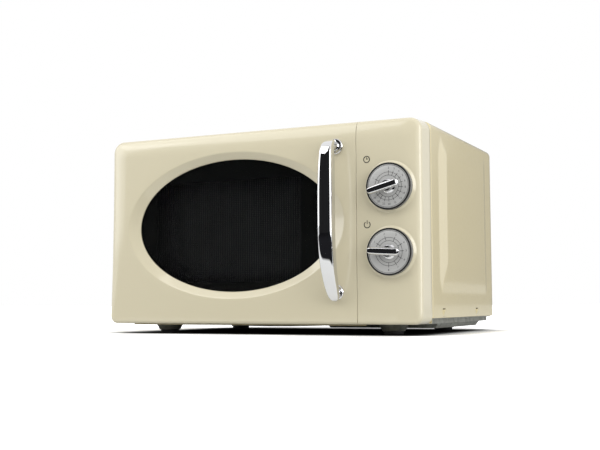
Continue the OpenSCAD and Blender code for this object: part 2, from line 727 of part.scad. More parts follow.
module unit_case(size, hole) {
    difference() {
        block([-size[0] / 2, size[0] / 2], [unit_d, unit_d + size[1]], [-size[2] / 2, size[2] / 2]);
        rod_y(shaft_r + fit, [unit_d - 1, unit_d + hole]);
        for (z = [-size[2] / 2, size[2] / 2 - 2], x = [-size[0] / 2 - 1 : 9 : size[0] / 2])
            block([x, x + 3], [unit_d + 4, unit_d + size[1] + 1], [z, z + 2]);
    }
}

module timer_unit() {
    rear = unit_d + timer_box[1];
    low = -timer_box[2] / 2;
    color([0.9, 0.88, 0.8]) at_dial(timer_z) {
        unit_case(timer_box, 18);
        for (x = [-16, -4, 8]) block([x, x + 4], [rear - eps, rear + 7], [low + 4, low + 5]);
    }
}

// Synchronous motor of the timer, with the bell that it strikes
module timer_motor() {
    rear = unit_d + timer_box[1] + 0.1;
    color(steel) at_dial(timer_z) {
        translate([-6, 0, 4]) {
            rod_y(19, [rear, rear + 13]);
            rod_y(5, [rear + 13 - eps, rear + 15]);
        }
        for (x = [-28, 9]) block([x, x + 7], [rear, rear + 1.2], [0, 8]);
    }
}

module power_switch() {
    rear = unit_d + power_box[1];
    color([0.9, 0.88, 0.8]) at_dial(power_z) {
        unit_case(power_box, 14);
        for (x = [-18, -6, 6, 16]) block([x, x + 0.8], [rear - eps, rear + 8], [-10, -4]);
    }
}

// ---------------------------------------------------------------- cabinet

// The cover's outline seen from the front, inset by s
module cover_form(s) {
    x = skin_x - s;
    past = s > 0 ? 1 : 0;
    along_y([cover_d - past, body_d + past])
        polygon(rounded([-x, x], [cover_z0 - past, cover_top - s], [0.01, 0.01, 9 - s, 9 - s]));
    for (m = [0, 1]) mirror([m, 0, 0]) rotate([0, 0, -90])
        pressing([-body_d + 36, -cover_d - 60], [body_h - 205, body_h - 26], [x, x + press_h], 12);
}

module outer_cover() {
    flange = 11;
    in_x = skin_x - cover_t;
    color(cream) from_face() {
        difference() {
            cover_form(0);
            cover_form(cover_t);
            for (m = [-1, 1], d = lance_d())
                block([m * skin_x - 3, m * skin_x + 3], [d, d + 16], [cover_z0 + 5, cover_z0 + 11]);
        }
        // flange round the back, with a hole for each screw
        difference() {
            along_y([body_d - cover_t, body_d]) difference() {
                polygon(rounded([-in_x - eps, in_x + eps], [cover_z0, cover_top - cover_t + eps],
                    [0.01, 0.01, 8.2, 8.2]));
                polygon(rounded([-in_x + flange, in_x - flange], [cover_z0 - 1, cover_top - flange],
                    [0.01, 0.01, 3, 3]));
            }
            at_back_screws() rod_y(screw_r + 0.2, [body_d - 3, body_d + 1]);
        }
    }
}

function lance_d() = [cover_d + 46, body_d - 82];
function back_screws() = [[-skin_x + 6.5, 60], [skin_x - 6.5, 60], [-skin_x + 6.5, body_h - 60],
    [skin_x - 6.5, body_h - 60], [0, body_h - 6.8]];
module at_back_screws() { for (p = back_screws()) translate([p[0], 0, p[1]]) children(); }

module cover_screws() {
    color(steel) from_face() at_back_screws() {
        rod_y(screw_r, [body_d - 8, body_d + 0.1]);
        rod_y(3.8, [body_d + 0.1 - eps, body_d + 2], 2.6);
    }
}

module front_plate() {
    x = bay_x1 - run;
    d = [plate_d, plate_d + sheet];
    top_r = 8.5;
    color(cream) from_face() difference() {
        union() {
            block([-x, x], d, [cover_z0 - 6, inner_top - 8]);
            block([-x + top_r, x - top_r], d, [cover_z0 - 6, inner_top]);
            for (m = [-1, 1]) translate([m * (x - top_r), 0, inner_top - top_r]) rod_y(top_r, d);
            block([door_x0 + 14, door_x1 - 4], d, [ground_gap - 2.4, cover_z0]);
        }
        along_y([plate_d - 1, cav_d0 + 1]) polygon(rounded([cav_x0, cav_x1], [cav_z0, cav_z1], [4, 4, 4, 4]));
        // openings for the hooks, the controls and the hinges' tongues
        hook_openings([plate_d - 1, cav_d0 + 1]);
        block([seam_x + wall, half_w - wall - 6], [plate_d - 1, cav_d0 + 1], [power_z - 40, timer_z + 44]);
        for (z = hinge_z)
            block([hinge_x - 3.4, hinge_x + 6.4], [plate_d - 1, cav_d0 + 1], [z - 0.4, z + 2.4]);
    }
}

function cavity_plan(s) =
    rounded([cav_x0 - s, cav_x1 + s], [cav_d0, cav_d1 + s], [0.01, 0.01, 12 + s, 12 + s]);

// Walls, back and ceiling of the cavity, which stand on its floor
module oven_cavity() {
    color([0.78, 0.77, 0.73]) from_face() difference() {
        along_z([cav_z0, cav_z1 + sheet]) polygon(cavity_plan(sheet));
        along_z([cav_z0 - 1, cav_z1])
            polygon(rounded([cav_x0, cav_x1], [cav_d0 - 1, cav_d1], [0.01, 0.01, 12, 12]));
        // mouth of the waveguide, lamp hole and air vents
        block([cav_x1 - 1, bay_x0 + 1], [wave_d[0] + 12, wave_d[0] + 74], [wave_z[0] + 10, wave_z[1] - 20]);
        translate([0, lamp_d(), lamp_z()]) rod_x(11, [cav_x1 - 1, bay_x0 + 1]);
        for (d = [cav_d0 + 36 : 9 : cav_d0 + 90])
            block([cav_x0 - 2, cav_x0 + 1], [d, d + 4], [cav_z1 - 50, cav_z1 - 22]);
    }
}

// Floor pan of the cavity, with the hole for the turntable's shaft
module cavity_floor() {
    color([0.78, 0.77, 0.73]) from_face() difference() {
        along_z([cav_z0 - sheet, cav_z0 - 0.02]) polygon(cavity_plan(sheet));
        translate([cav_mid, cav_mid_d, cav_z0 - 2]) cylinder(r = 9, h = 4);
    }
}

function lamp_d() = cav_d0 + 68;
function lamp_z() = cav_z1 - 20;

module at_bumpers() { for (m = [-1, 1]) translate([m * bumper_x, 0, bumper_z]) children(); }

module back_panel() {
    x = bay_x1 - run;
    pitch = 9;
    color(steel) from_face() {
        difference() {
            along_y([inner_back, back_d]) difference() {
                polygon(rounded([-x, x], [cover_z0 + 0.3, inner_top], [0.01, 0.01, 8, 8]));
                // air outlets, and the fan's slots cut to its circle
                for (i = [0 : 9], j = [0 : 2])
                    translate([-150 + i * 20, 70 + j * 45]) rotate(90) slot_2d(30, 4);
                for (i = [-4 : 4]) translate([fan_x, fan_z + i * pitch])
                    slot_2d(2 * sqrt(pow(fan_r, 2) - pow(i * pitch, 2)) - 4, 5);
            }
            at_bumpers() rod_y(bumper_r, [inner_back - 1, back_d + 1]);
            translate([gland_x(), 0, gland_z()]) rod_y(gland_r, [back_d - 4, back_d + 1]);
            at_back_screws() rod_y(screw_r + 0.1, [back_d - 4, back_d + 1]);
        }
        // spacer bumps
        at_bumpers() difference() {
            rod_y(bumper_r + eps, [inner_back, body_d + bumper], 6);
            rod_y(bumper_r + eps - sheet * 1.3, [inner_back - eps, body_d + bumper - sheet], 6 - sheet);
        }
    }
}
gland_r = 7;
function gland_x() = half_w - 45;
function gland_z() = cover_z0 + 26;

// Strain relief bush for the mains lead
module cord_gland() {
    color(dark) from_face() translate([gland_x(), 0, gland_z()]) difference() {
        union() {
            rod_y(gland_r - 0.15, [inner_back - 6, back_d + 0.4]);
            rod_y(10, [back_d + 0.2, back_d + 3.2]);
            rod_y(8.6, [inner_back - 6, inner_back - 0.2]);
        }
        rod_y(4, [inner_back - 7, back_d + 4]);
    }
}

// The base's filled form, with its skin inset by s
module base_form(s) {
    top = s > 0 ? cover_z0 + 1 : cover_z0 - 0.2;
    x = half_w - 8;
    block([-x + s, x - s], [cav_d0 + 0.2 + s, base_d1 - s], [floor_z - 1 + s, top]);
    dish = [[bay_x0 - 50, half_w - 15], [92, body_d - 42]];
    slope = 4;
    hull() {
        block([dish[0][0] - slope + s, dish[0][1] + slope - s],
            [dish[1][0] - slope + s, dish[1][1] + slope - s], [floor_z - 1 + s, floor_z + s]);
        block([dish[0][0] + s, dish[0][1] - s], [dish[1][0] + s, dish[1][1] - s],
            [floor_z - 7 + s, floor_z + s]);
    }
    translate([cav_mid, cav_mid_d, floor_z - 6.5 + s]) cylinder(r1 = 62 - s, r2 = 70 - s, h = 7);
    for (m = [-1, 1], d = foot_d) translate([m * foot_x, d, foot_h + s])
        cylinder(r1 = foot_r + 1.5 - s, r2 = foot_r + 7 - s, h = floor_z - foot_h);
}

module base_plate() {
    x = half_w - 8;
    lip_x = half_w - 20;
    lip_d = inner_back - sheet - 0.1;
    lip_h = 11;
    ledge = [cover_z0 - 0.2 - sheet, cover_z0 - 0.2];
    color(steel) from_face() difference() {
        union() {
            difference() {
                base_form(0);
                base_form(sheet);
            }
            // rear lip that the back panel stands against
            block([-lip_x, lip_x], [base_d1 - eps, lip_d + sheet], ledge);
            block([-lip_x, lip_x], [lip_d, lip_d + sheet], [ledge[0], cover_z0 + lip_h]);
            // flange that carries the cover
            difference() {
                block([-skin_x + 0.3, skin_x - 0.3], [cav_d0 + 0.2, base_d1], ledge);
                block([-x + sheet, x - sheet], [cav_d0 - 1, base_d1 - sheet], [cover_z0 - 3, cover_z0 + 1]);
            }
        }
        for (m = [-1, 1], d = foot_d) translate([m * foot_x, d, 0]) cylinder(r = 4, h = floor_z);
        // notch for the lower hinge's leg
        block([-half_w, hinge_x + 12.5], [cav_d0, cav_d0 + 2.6], [floor_z - 2, cover_z0]);
        // air slots in the dish
        for (i = [0 : 7], d = [108, 226]) translate([bay_x0 - 30 + i * 11, d, floor_z - 8])
            linear_extrude(height = 4) rotate(90) slot_2d(16, 4);
    }
}

module feet() {
    color(dark) from_face() for (m = [-1, 1], d = foot_d) translate([m * foot_x, d, 0]) {
        cylinder(r1 = foot_r - 1, r2 = foot_r, h = 1);
        translate([0, 0, 1 - eps]) cylinder(r = foot_r, h = foot_h - 1);
        translate([0, 0, foot_h - 1]) cylinder(r = 3.8, h = sheet + 1.6);
        translate([0, 0, foot_h + sheet + 0.2]) cylinder(r1 = 5.2, r2 = 3, h = 3);
    }
}

// ---------------------------------------------------------------- microwave power

// Waveguide: a folded channel on the cavity's wall, with the magnetron's hole in its outer side
module waveguide() {
    color(steel) from_face() difference() {
        union() {
            block([bay_x0 + 0.1, wave_x1], wave_d, wave_z);
            block([bay_x0 + 0.1, bay_x0 + 0.1 + sheet], [wave_d[0] - 8, wave_d[1] + 8],
                [wave_z[0] - 8, wave_z[1] + 8]);
        }
        block([bay_x0 - 1, wave_x1 - sheet], [wave_d[0] + sheet, wave_d[1] - sheet],
            [wave_z[0] + sheet, wave_z[1] - sheet]);
        translate([0, tube_d, tube_z]) rod_x(14, [wave_x1 - 3, wave_x1 + 1]);
    }
}

// Mica sheet that covers the waveguide's mouth inside the cavity
module mica_cover() {
    d = [wave_d[0] + 4, wave_d[0] + 82];
    z = [wave_z[0] + 2, wave_z[1] - 16];
    color([0.75, 0.7, 0.6]) from_face() along_x([cav_x1 - 0.6, cav_x1 - 0.1])
        polygon(rounded(d, z, [4, 4, 4, 4]));
}

module magnetron_yoke() {
    color(steel) from_face() translate([0, tube_d, tube_z]) difference() {
        block(yoke_x, [-24, 24], [-40, 40]);
        block([yoke_x[0] + 1.5, yoke_x[1] - 1.5], [-25, 25], [-38.5, 38.5]);
        rod_x(15, [yoke_x[0] - 1, yoke_x[0] + 3]);
        rod_x(12, [yoke_x[1] - 3, yoke_x[1] + 1]);
    }
}

// Anode block with its cooling fins and the antenna that reaches into the waveguide
module magnetron_anode() {
    mid = [yoke_x[0] + 14, yoke_x[1] - 14];
    pitch = (mid[1] - mid[0]) / 6;
    color(copper) from_face() translate([0, tube_d, tube_z]) {
        rod_x(17, mid);
        rod_x(9, [yoke_x[0] - 4, mid[0] + eps]);
        rod_x(7, [yoke_x[0] - 19, yoke_x[0] - 4 + eps]);
        rod_x(9, [mid[1] - eps, yoke_x[1] + 4]);
        for (i = [0 : 5]) translate([mid[0] + (i + 0.5) * pitch, 0, 0])
            block([-0.4, 0.4], [-23, 23], [-38.4, 38.4]);
    }
}

module magnetron_magnets() {
    color(dark) from_face() translate([0, tube_d, tube_z])
        for (x = [[yoke_x[0] + 1.6, yoke_x[0] + 13.6], [yoke_x[1] - 13.6, yoke_x[1] - 1.6]]) difference() {
            rod_x(22, x);
            rod_x(9.6, [x[0] - 1, x[1] + 1]);
        }
}

module magnetron_filter() {
    x = [yoke_x[1] + 0.2, bay_x1 - 3];
    color(steel) from_face() translate([0, tube_d, tube_z]) difference() {
        union() {
            block(x, [-22, 22], [-30, 30]);
            block([x[0] + 8, x[0] + 20], [22 - eps, 34], [-8, 8]);
        }
        block([x[0] + 1, x[1] - 1], [-21, 21], [-29, 29]);
        rod_x(11, [x[0] - 1, x[0] + 3]);
    }
}

// Laminated core with a window on each side of its middle leg, on two feet
module transformer_core() {
    color([0.35, 0.36, 0.38]) from_face() difference() {
        union() {
            block(iron_x, iron_d, iron_z);
            block([iron_x[0] - 5, iron_x[1] + 5], [iron_d[0] + 18, iron_d[1] - 18],
                [iron_z[0], iron_z[0] + 2]);
        }
        for (x = [[iron_x[0] + iron_rim, iron_mid - iron_core], [iron_mid + iron_core, iron_x[1] - iron_rim]])
            block(x, [iron_d[0] - 1, iron_d[1] + 1], [iron_z[0] + iron_rim, iron_z[1] - iron_rim]);
    }
}

// One winding round the middle leg, between two heights in the core's windows
module winding(z, bulge) {
    in = iron_core + run;
    out = 2 * iron_leg - iron_rim - run;
    from_face() difference() {
        along_z(z) polygon(rounded([iron_mid - out, iron_mid + out],
            [iron_d[0] - bulge, iron_d[1] + bulge], [10, 10, 10, 10]));
        block([iron_mid - in, iron_mid + in], [iron_d[0] - run, iron_d[1] + run], [z[0] - 1, z[1] + 1]);
    }
}

function winding_z() = let (z0 = iron_z[0] + iron_rim + run, z1 = iron_z[1] - iron_rim - run)
    [z0, z0 + (z1 - z0) * 0.42, z0 + (z1 - z0) * 0.5, z1];

// The primary winding below and the larger secondary above it
module transformer_windings() {
    z = winding_z();
    color(copper) {
        winding([z[0], z[1]], 11);
        winding([z[2], z[3]], 14);
    }
}

module capacitor() {
    color([0.75, 0.76, 0.76]) from_face() {
        along_z(can_z) polygon(rounded(can_x, can_d, [can_r, can_r, can_r, can_r]));
        for (e = [can_x[0] + terminal_in, can_x[1] - terminal_in])
                translate([e, (can_d[0] + can_d[1]) / 2, can_z[1] - eps]) {
            cylinder(r = 6, h = 5);
            translate([0, 0, 5 - eps]) block([-3, 3], [-0.5, 0.5], [0, 8]);
        }
    }
}

module capacitor_clamp() {
    x = can_x;
    d = can_d;
    z = [can_z[0] + 30, can_z[0] + 44];
    stay_d = d[0] + can_t * 0.44;
    band = [1, 1, 1, 1];
    color(steel) from_face() difference() {
        union() {
            along_z(z)
                polygon(rounded([x[0] - 1.3, x[1] + 1.3], [d[0] - 1.3, d[1] + 1.3], band * (can_r + 1.1)));
            block([bay_x0 + 0.1, x[0] + 4], [stay_d, stay_d + 1.2], z);
            block([bay_x0 + 0.1, bay_x0 + 1.3], [stay_d, stay_d + 14], z);
        }
        along_z([z[0] - 1, z[1] + 1])
            polygon(rounded([x[0] - 0.2, x[1] + 0.2], [d[0] - 0.2, d[1] + 0.2], band * (can_r + 0.1)));
    }
}

// High-voltage rectifier between the capacitor's terminal and the base
module hv_diode() {
    color(dark) from_face() translate([can_x[1] - terminal_in + 3, (can_d[0] + can_d[1]) / 2, can_z[1] + 5]) {
        block([run, 22], [-3.5, 3.5], [0.1, 8]);
        translate([0, 0, 4]) rod_x(0.6, [22 - eps, 34]);
    }
}

// ---------------------------------------------------------------- cooling, lamp and mains

module fan_shroud() {
    x = [bay_x0 + 1, bay_x1 - 1];
    z = [fan_z - fan_r - 12, fan_z + fan_r + 14];
    d = [inner_back - 24, inner_back - 0.1];
    color([0.2, 0.2, 0.21]) from_face() difference() {
        union() {
            block(x, [d[0], d[0] + 2], z);
            translate([fan_x, 0, fan_z]) rod_y(fan_r + 3.2, d);
        }
        translate([fan_x, 0, fan_z]) rod_y(fan_r + 1.5, [d[0] - 1, d[1] + 1]);
    }
}

// Shaded-pole motor of the fan: laminated frame and the stay that holds it on the shroud
module fan_motor() {
    d1 = stator_d;
    color([0.45, 0.46, 0.48]) from_face() translate([fan_x, 0, fan_z]) {
        difference() {
            union() {
                block([-28, 28], [d1 - 18, d1 - 4], [-20, 34]);
                rod_y(9, [d1 - 22, d1 - 1]);
            }
            block([-16, 16], [d1 - 19, d1 - 3], [18, 27]);
            rod_y(2 + fit, [d1 - 15, d1]);
        }
        for (m = [-1, 1]) {
            block([m * 26 - 4, m * 26 + 4], [d1 - 4 - eps, d1 + 2.4], [-14, -8]);
            block([m * 38 - 14, m * 38 + 14], [d1 + 0.9, d1 + 2.4], [-14, -8]);
        }
    }
}

module fan_coil() {
    d1 = stator_d;
    color(copper) from_face() translate([fan_x, 0, fan_z]) difference() {
        along_x([-15, 15]) polygon(rounded([d1 - 23, d1 - 0.5], [18.3, 42], [4, 4, 4, 4]));
        block([-16, 16], [d1 - 18.3, d1 - 3.7], [26.8, 34.3]);
    }
}

module fan_blade() {
    d = [inner_back - 20, inner_back - 6];
    color([0.3, 0.3, 0.32]) from_face() translate([fan_x, 0, fan_z]) {
        rod_y(11, d);
        rod_y(2, [d[0] - 18, d[0] + eps]);
        for (a = [0 : 60 : 300]) rotate([0, a, 0]) translate([0, d[0] + 1, 0]) rotate([-90, 0, 0])
            linear_extrude(height = 12, twist = 34, slices = 4, segments = 4)
                translate([9, -0.8]) square([fan_r - 10, 1.6]);
    }
}

// Mains filter board on the cavity's wall
module filter_board() {
    x = bay_x0 + 4;
    d = [wave_d[1] + 10, wave_d[1] + 54];
    z = [floor_z + 100, floor_z + 100 + 62];
    color([0.25, 0.45, 0.25]) from_face() {
        block([x, x + 1.6], d, z);
        for (a = [d[0] + 5, d[1] - 5], b = [z[0] + 5, z[1] - 5])
            translate([0, a, b]) rod_x(2.2, [bay_x0 + 0.1, x + eps]);
        translate([0, d[0] + 16, z[0] + 18]) rod_x(8, [x + 1.6 - eps, x + 14]);
        block([x + 1.6 - eps, x + 14], [d[0] + 26, d[0] + 40], [z[0] + 8, z[0] + 26]);
        block([x + 1.6 - eps, x + 11], [d[0] + 6, d[0] + 30], [z[0] + 36, z[0] + 46]);
        translate([0, d[0] + 37, z[0] + 52]) rod_x(5, [x + 1.6 - eps, x + 9]);
    }
}

module lamp_holder() {
    x0 = bay_x0 + 0.1;
    color(steel) from_face() translate([0, lamp_d(), lamp_z()]) difference() {
        union() {
            block([x0, x0 + sheet], [-20, 20], [-14, 14]);
            block([x0, x0 + 34], [-16, 16], [-14, -13]);
            block([x0 + 33, x0 + 34], [-16, 16], [-14, 14]);
            rod_x(9, [x0 + 26, x0 + 33 + eps]);
        }
        rod_x(11, [x0 - 1, x0 + 3]);
        rod_x(6.2, [x0 + 25, x0 + 33]);
    }
}

// Lamp: a turned bulb on its cap
module oven_lamp() {
    bulb_r = 9;
    cap_r = 6;
    bulb = concat([[0, 4.2]], arc([0, 13], bulb_r, -75, 45, 6), [[cap_r, 20.4], [cap_r, 32.6], [0, 32.6]]);
    color([0.95, 0.94, 0.85]) from_face() translate([bay_x0 + 0.1, lamp_d(), lamp_z()])
        rotate([0, 90, 0]) rotate_extrude() polygon(bulb);
}

module thermal_cutout() {
    color([0.85, 0.82, 0.7]) from_face() translate([0, cav_d0 + 215, cav_z1 - 26]) {
        rod_x(8, [bay_x0 + 0.1, bay_x0 + 8]);
        for (m = [-1, 1]) block([bay_x0 + 8 - eps, bay_x0 + 16], [m * 4 - 0.4, m * 4 + 0.4], [-3, 3]);
        block([bay_x0 + 0.1, bay_x0 + 1], [-12, 12], [-4, 4]);
    }
}

// ---------------------------------------------------------------- turntable

module at_turntable() { from_face() translate([cav_mid, cav_mid_d, 0]) children(); }

module turntable_motor() {
    color(steel) at_turntable() {
        difference() {
            translate([0, 0, motor_z]) cylinder(r = 25, h = motor_h);
            translate([0, 0, motor_z + 2]) cylinder(r = drive_r + fit, h = motor_h);
        }
        for (m = [-1, 1]) difference() {
            block([m * 29 - 8, m * 29 + 8], [-5, 5], [motor_z + motor_h - 1.2, motor_z + motor_h]);
            translate([m * 32, 0, motor_z]) cylinder(r = screw_r, h = motor_h + 1);
            translate([0, 0, motor_z]) cylinder(r = 24, h = motor_h + 1);
        }
        block([-9, 9], [24, 36], [motor_z + 1, motor_z + 9]);
    }
}

// Drive shaft with its three-armed coupler
module turntable_coupler() {
    color(nylon) at_turntable() {
        translate([0, 0, motor_z + 2.3]) cylinder(r = drive_r, h = tray_z - 4 - motor_z - 2.3);
        translate([0, 0, cav_z0 + 4]) cylinder(r = 9, h = tray_z - run - cav_z0 - 4);
        for (a = [0, 120, 240]) rotate(a) block([0, 20], [-3, 3], [tray_z - 6.5, tray_z - run]);
    }
}

module roller_ring() {
    z = roller_z;
    color(nylon) at_turntable() {
        difference() {
            translate([0, 0, z - 3]) cylinder(r = track_r - 5, h = 6, $fn = 96);
            translate([0, 0, z - 4]) cylinder(r = track_r - 12, h = 8, $fn = 96);
        }
        difference() {
            translate([0, 0, z - 2.5]) cylinder(r = 30, h = 5);
            translate([0, 0, z - 4]) cylinder(r = 24, h = 8);
        }
        for (a = [30, 150, 270]) rotate(a) {
            block([28, track_r - 10], [-3, 3], [z - 2.2, z + 2.2]);
            translate([0, 0, z]) {
                rod_x(2.8, [track_r - 6, track_r - 4 - run]);
                rod_x(2, [track_r - 6, track_r + 5]);
                rod_x(2.8, [track_r + 4 + run - eps, track_r + 5.5]);
            }
        }
    }
}

module roller(a) {
    color([0.92, 0.92, 0.9]) at_turntable() rotate(a) translate([0, 0, roller_z]) difference() {
        rod_x(roller_r, [track_r - 4, track_r + 4]);
        rod_x(2 + fit, [track_r - 5, track_r + 5]);
        for (x = [[track_r - 5, track_r - 2.6], [track_r + 2.6, track_r + 5]]) difference() {
            rod_x(roller_r - 1.6, x);
            rod_x(3.6, [x[0] - 1, x[1] + 1]);
        }
    }
}

module glass_tray() {
    r = tray_dia / 2;
    t = 4;
    bend_r = 16;       // outer radius of the rounding between the tray's floor and its rim
    bend_x = r - 22;
    profile = concat([[0, 0], [bend_x, 0]], arc([bend_x, bend_r], bend_r, -90, -40, 6), [[r - 1.5, 10.5]],
        arc([r - 1.5, 12], 1.5, -60, 90, 5), [[r - 9, 13.5]],
        arc([bend_x, bend_r], bend_r - t, -30, -90, 6), [[0, t]]);
    color([0.75, 0.85, 0.85]) at_turntable() {
        translate([0, 0, tray_z]) rotate_extrude($fn = 120) polygon(profile);
        // lugs that sit between the coupler's arms
        for (a = [60, 180, 300]) rotate(a) translate([14, 0, tray_z - 5]) cylinder(r = 3, h = 5 + eps);
    }
}

outer_cover();
front_plate();
oven_cavity();
cavity_floor();
back_panel();
base_plate();
feet();
cover_screws();
cord_gland();
control_panel();
dial_bezels();
dial_plates();
control_bracket();
timer_unit();
timer_motor();
power_switch();
timer_knob();
timer_shaft();
power_knob();
power_shaft();
door_frame();
door_glass();
door_plate();
door_screen();
choke_cover();
handle();
handle_screws();
plate_screws();
latch_plate();
latch_spring();
upper_hinge();
lower_hinge();
latch_body();
door_switches();
waveguide();
mica_cover();
magnetron_yoke();
magnetron_anode();
magnetron_magnets();
magnetron_filter();
transformer_core();
transformer_windings();
capacitor();
capacitor_clamp();
hv_diode();
fan_shroud();
fan_motor();
fan_coil();
fan_blade();
filter_board();
lamp_holder();
oven_lamp();
thermal_cutout();
turntable_motor();
turntable_coupler();
roller_ring();
roller(30);  // roller_1
roller(150);  // roller_2
roller(270);  // roller_3
glass_tray();
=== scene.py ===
"""Countertop microwave oven in cream, with an oval window, a chrome bow handle and two dials.

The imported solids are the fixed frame. The pieces that show are built here as surfaces over that
frame, in metres, and the solids that stay get their real finishes. Depths are measured backwards
from the face of the door, as the makers of such ovens do, and `Layout.y` turns them into the frame.
"""

from __future__ import annotations

import json
import logging
import math
from dataclasses import dataclass
from enum import Enum
from typing import Any

import bmesh
import bpy
import numpy as np
from mathutils import Matrix, Vector

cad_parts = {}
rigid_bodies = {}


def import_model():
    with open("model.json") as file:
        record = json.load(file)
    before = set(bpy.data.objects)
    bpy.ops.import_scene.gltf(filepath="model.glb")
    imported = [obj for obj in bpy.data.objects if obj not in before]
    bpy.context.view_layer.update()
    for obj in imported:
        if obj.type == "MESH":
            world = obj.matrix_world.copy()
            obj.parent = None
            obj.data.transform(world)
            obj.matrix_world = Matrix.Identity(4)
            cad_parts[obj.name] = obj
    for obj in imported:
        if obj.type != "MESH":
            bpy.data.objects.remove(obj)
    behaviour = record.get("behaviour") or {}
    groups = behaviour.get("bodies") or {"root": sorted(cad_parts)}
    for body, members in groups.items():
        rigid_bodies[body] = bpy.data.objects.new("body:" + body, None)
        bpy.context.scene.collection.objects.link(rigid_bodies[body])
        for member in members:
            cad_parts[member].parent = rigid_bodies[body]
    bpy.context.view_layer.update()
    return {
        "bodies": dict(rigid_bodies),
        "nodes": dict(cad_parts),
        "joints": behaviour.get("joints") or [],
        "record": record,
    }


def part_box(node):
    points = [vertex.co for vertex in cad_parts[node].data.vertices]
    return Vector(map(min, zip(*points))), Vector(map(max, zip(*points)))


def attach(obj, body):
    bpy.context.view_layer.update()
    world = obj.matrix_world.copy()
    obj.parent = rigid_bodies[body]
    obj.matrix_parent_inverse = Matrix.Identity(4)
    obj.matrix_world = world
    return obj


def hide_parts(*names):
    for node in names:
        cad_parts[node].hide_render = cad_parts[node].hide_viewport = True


LOG = logging.getLogger("oven")
MM = 0.001
Points = np.ndarray
Tree, Socket, Piece = bpy.types.NodeTree, bpy.types.NodeSocket, bpy.types.Object
Pair, Spot = tuple[float, float], tuple[float, float, float]


# ------------------------------------------------------------------ finishes


def linear(code: str) -> tuple[float, float, float, float]:
    """Turn an sRGB hex colour into linear light.

    Args:
        code: Six hex digits, with or without a leading hash.

    Returns:
        Linear red, green, blue and an alpha of one.
    """
    raw = [int(code.lstrip("#")[i:i + 2], 16) / 255 for i in (0, 2, 4)]
    lin = [c / 12.92 if c <= 0.04045 else ((c + 0.055) / 1.055) ** 2.4 for c in raw]
    return lin[0], lin[1], lin[2], 1.0


def node(tree: Tree, kind: str, inputs: dict[Any, Any] | None = None, **settings: Any) -> bpy.types.Node:
    """Add one shader node.

    Args:
        tree: Node tree that gets the node.
        kind: Blender's name of its type, without the leading ShaderNode.
        inputs: Input name or number, to the value it holds or the output socket that feeds it.
        **settings: Attributes set on the node itself.

    Returns:
        The new node.
    """
    made = tree.nodes.new("ShaderNode" + kind)
    for key, value in settings.items():
        setattr(made, key, value)
    for key, value in (inputs or {}).items():
        if isinstance(value, Socket):
            tree.links.new(value, made.inputs[key])
        else:
            made.inputs[key].default_value = value
    return made


def calc(tree: Tree, operation: str, *terms: float | Socket) -> Socket:
    """Add a maths node on numbers or sockets, and give its result."""
    return node(tree, "Math", dict(enumerate(terms)), operation=operation).outputs[0]


def ramp(tree: Tree, value: Socket, start: float, end: float, low: float = 0.0, high: float = 1.0) -> Socket:
    """Map a value from start..end onto low..high, and give the result."""
    return node(tree, "MapRange", {"Value": value, "From Min": start, "From Max": end, "To Min": low,
                                   "To Max": high}).outputs["Result"]


def blend(tree: Tree, factor: Socket, first: Any, second: Any) -> Socket:
    """Mix two colours, each a value or a socket, and give the result."""
    return node(tree, "Mix", {"Factor": factor, 6: first, 7: second}, data_type="RGBA").outputs[2]


class Relief(Enum):
    """The fine surface that a process leaves, which bump and roughness follow."""

    PLAIN = "plain"
    ORANGE_PEEL = "orange peel"
    MOULD_GRAIN = "mould grain"
    SPANGLE = "spangle"
    BRUSHED = "brushed"
    WOUND = "wound"
    LAMINATED = "laminated"


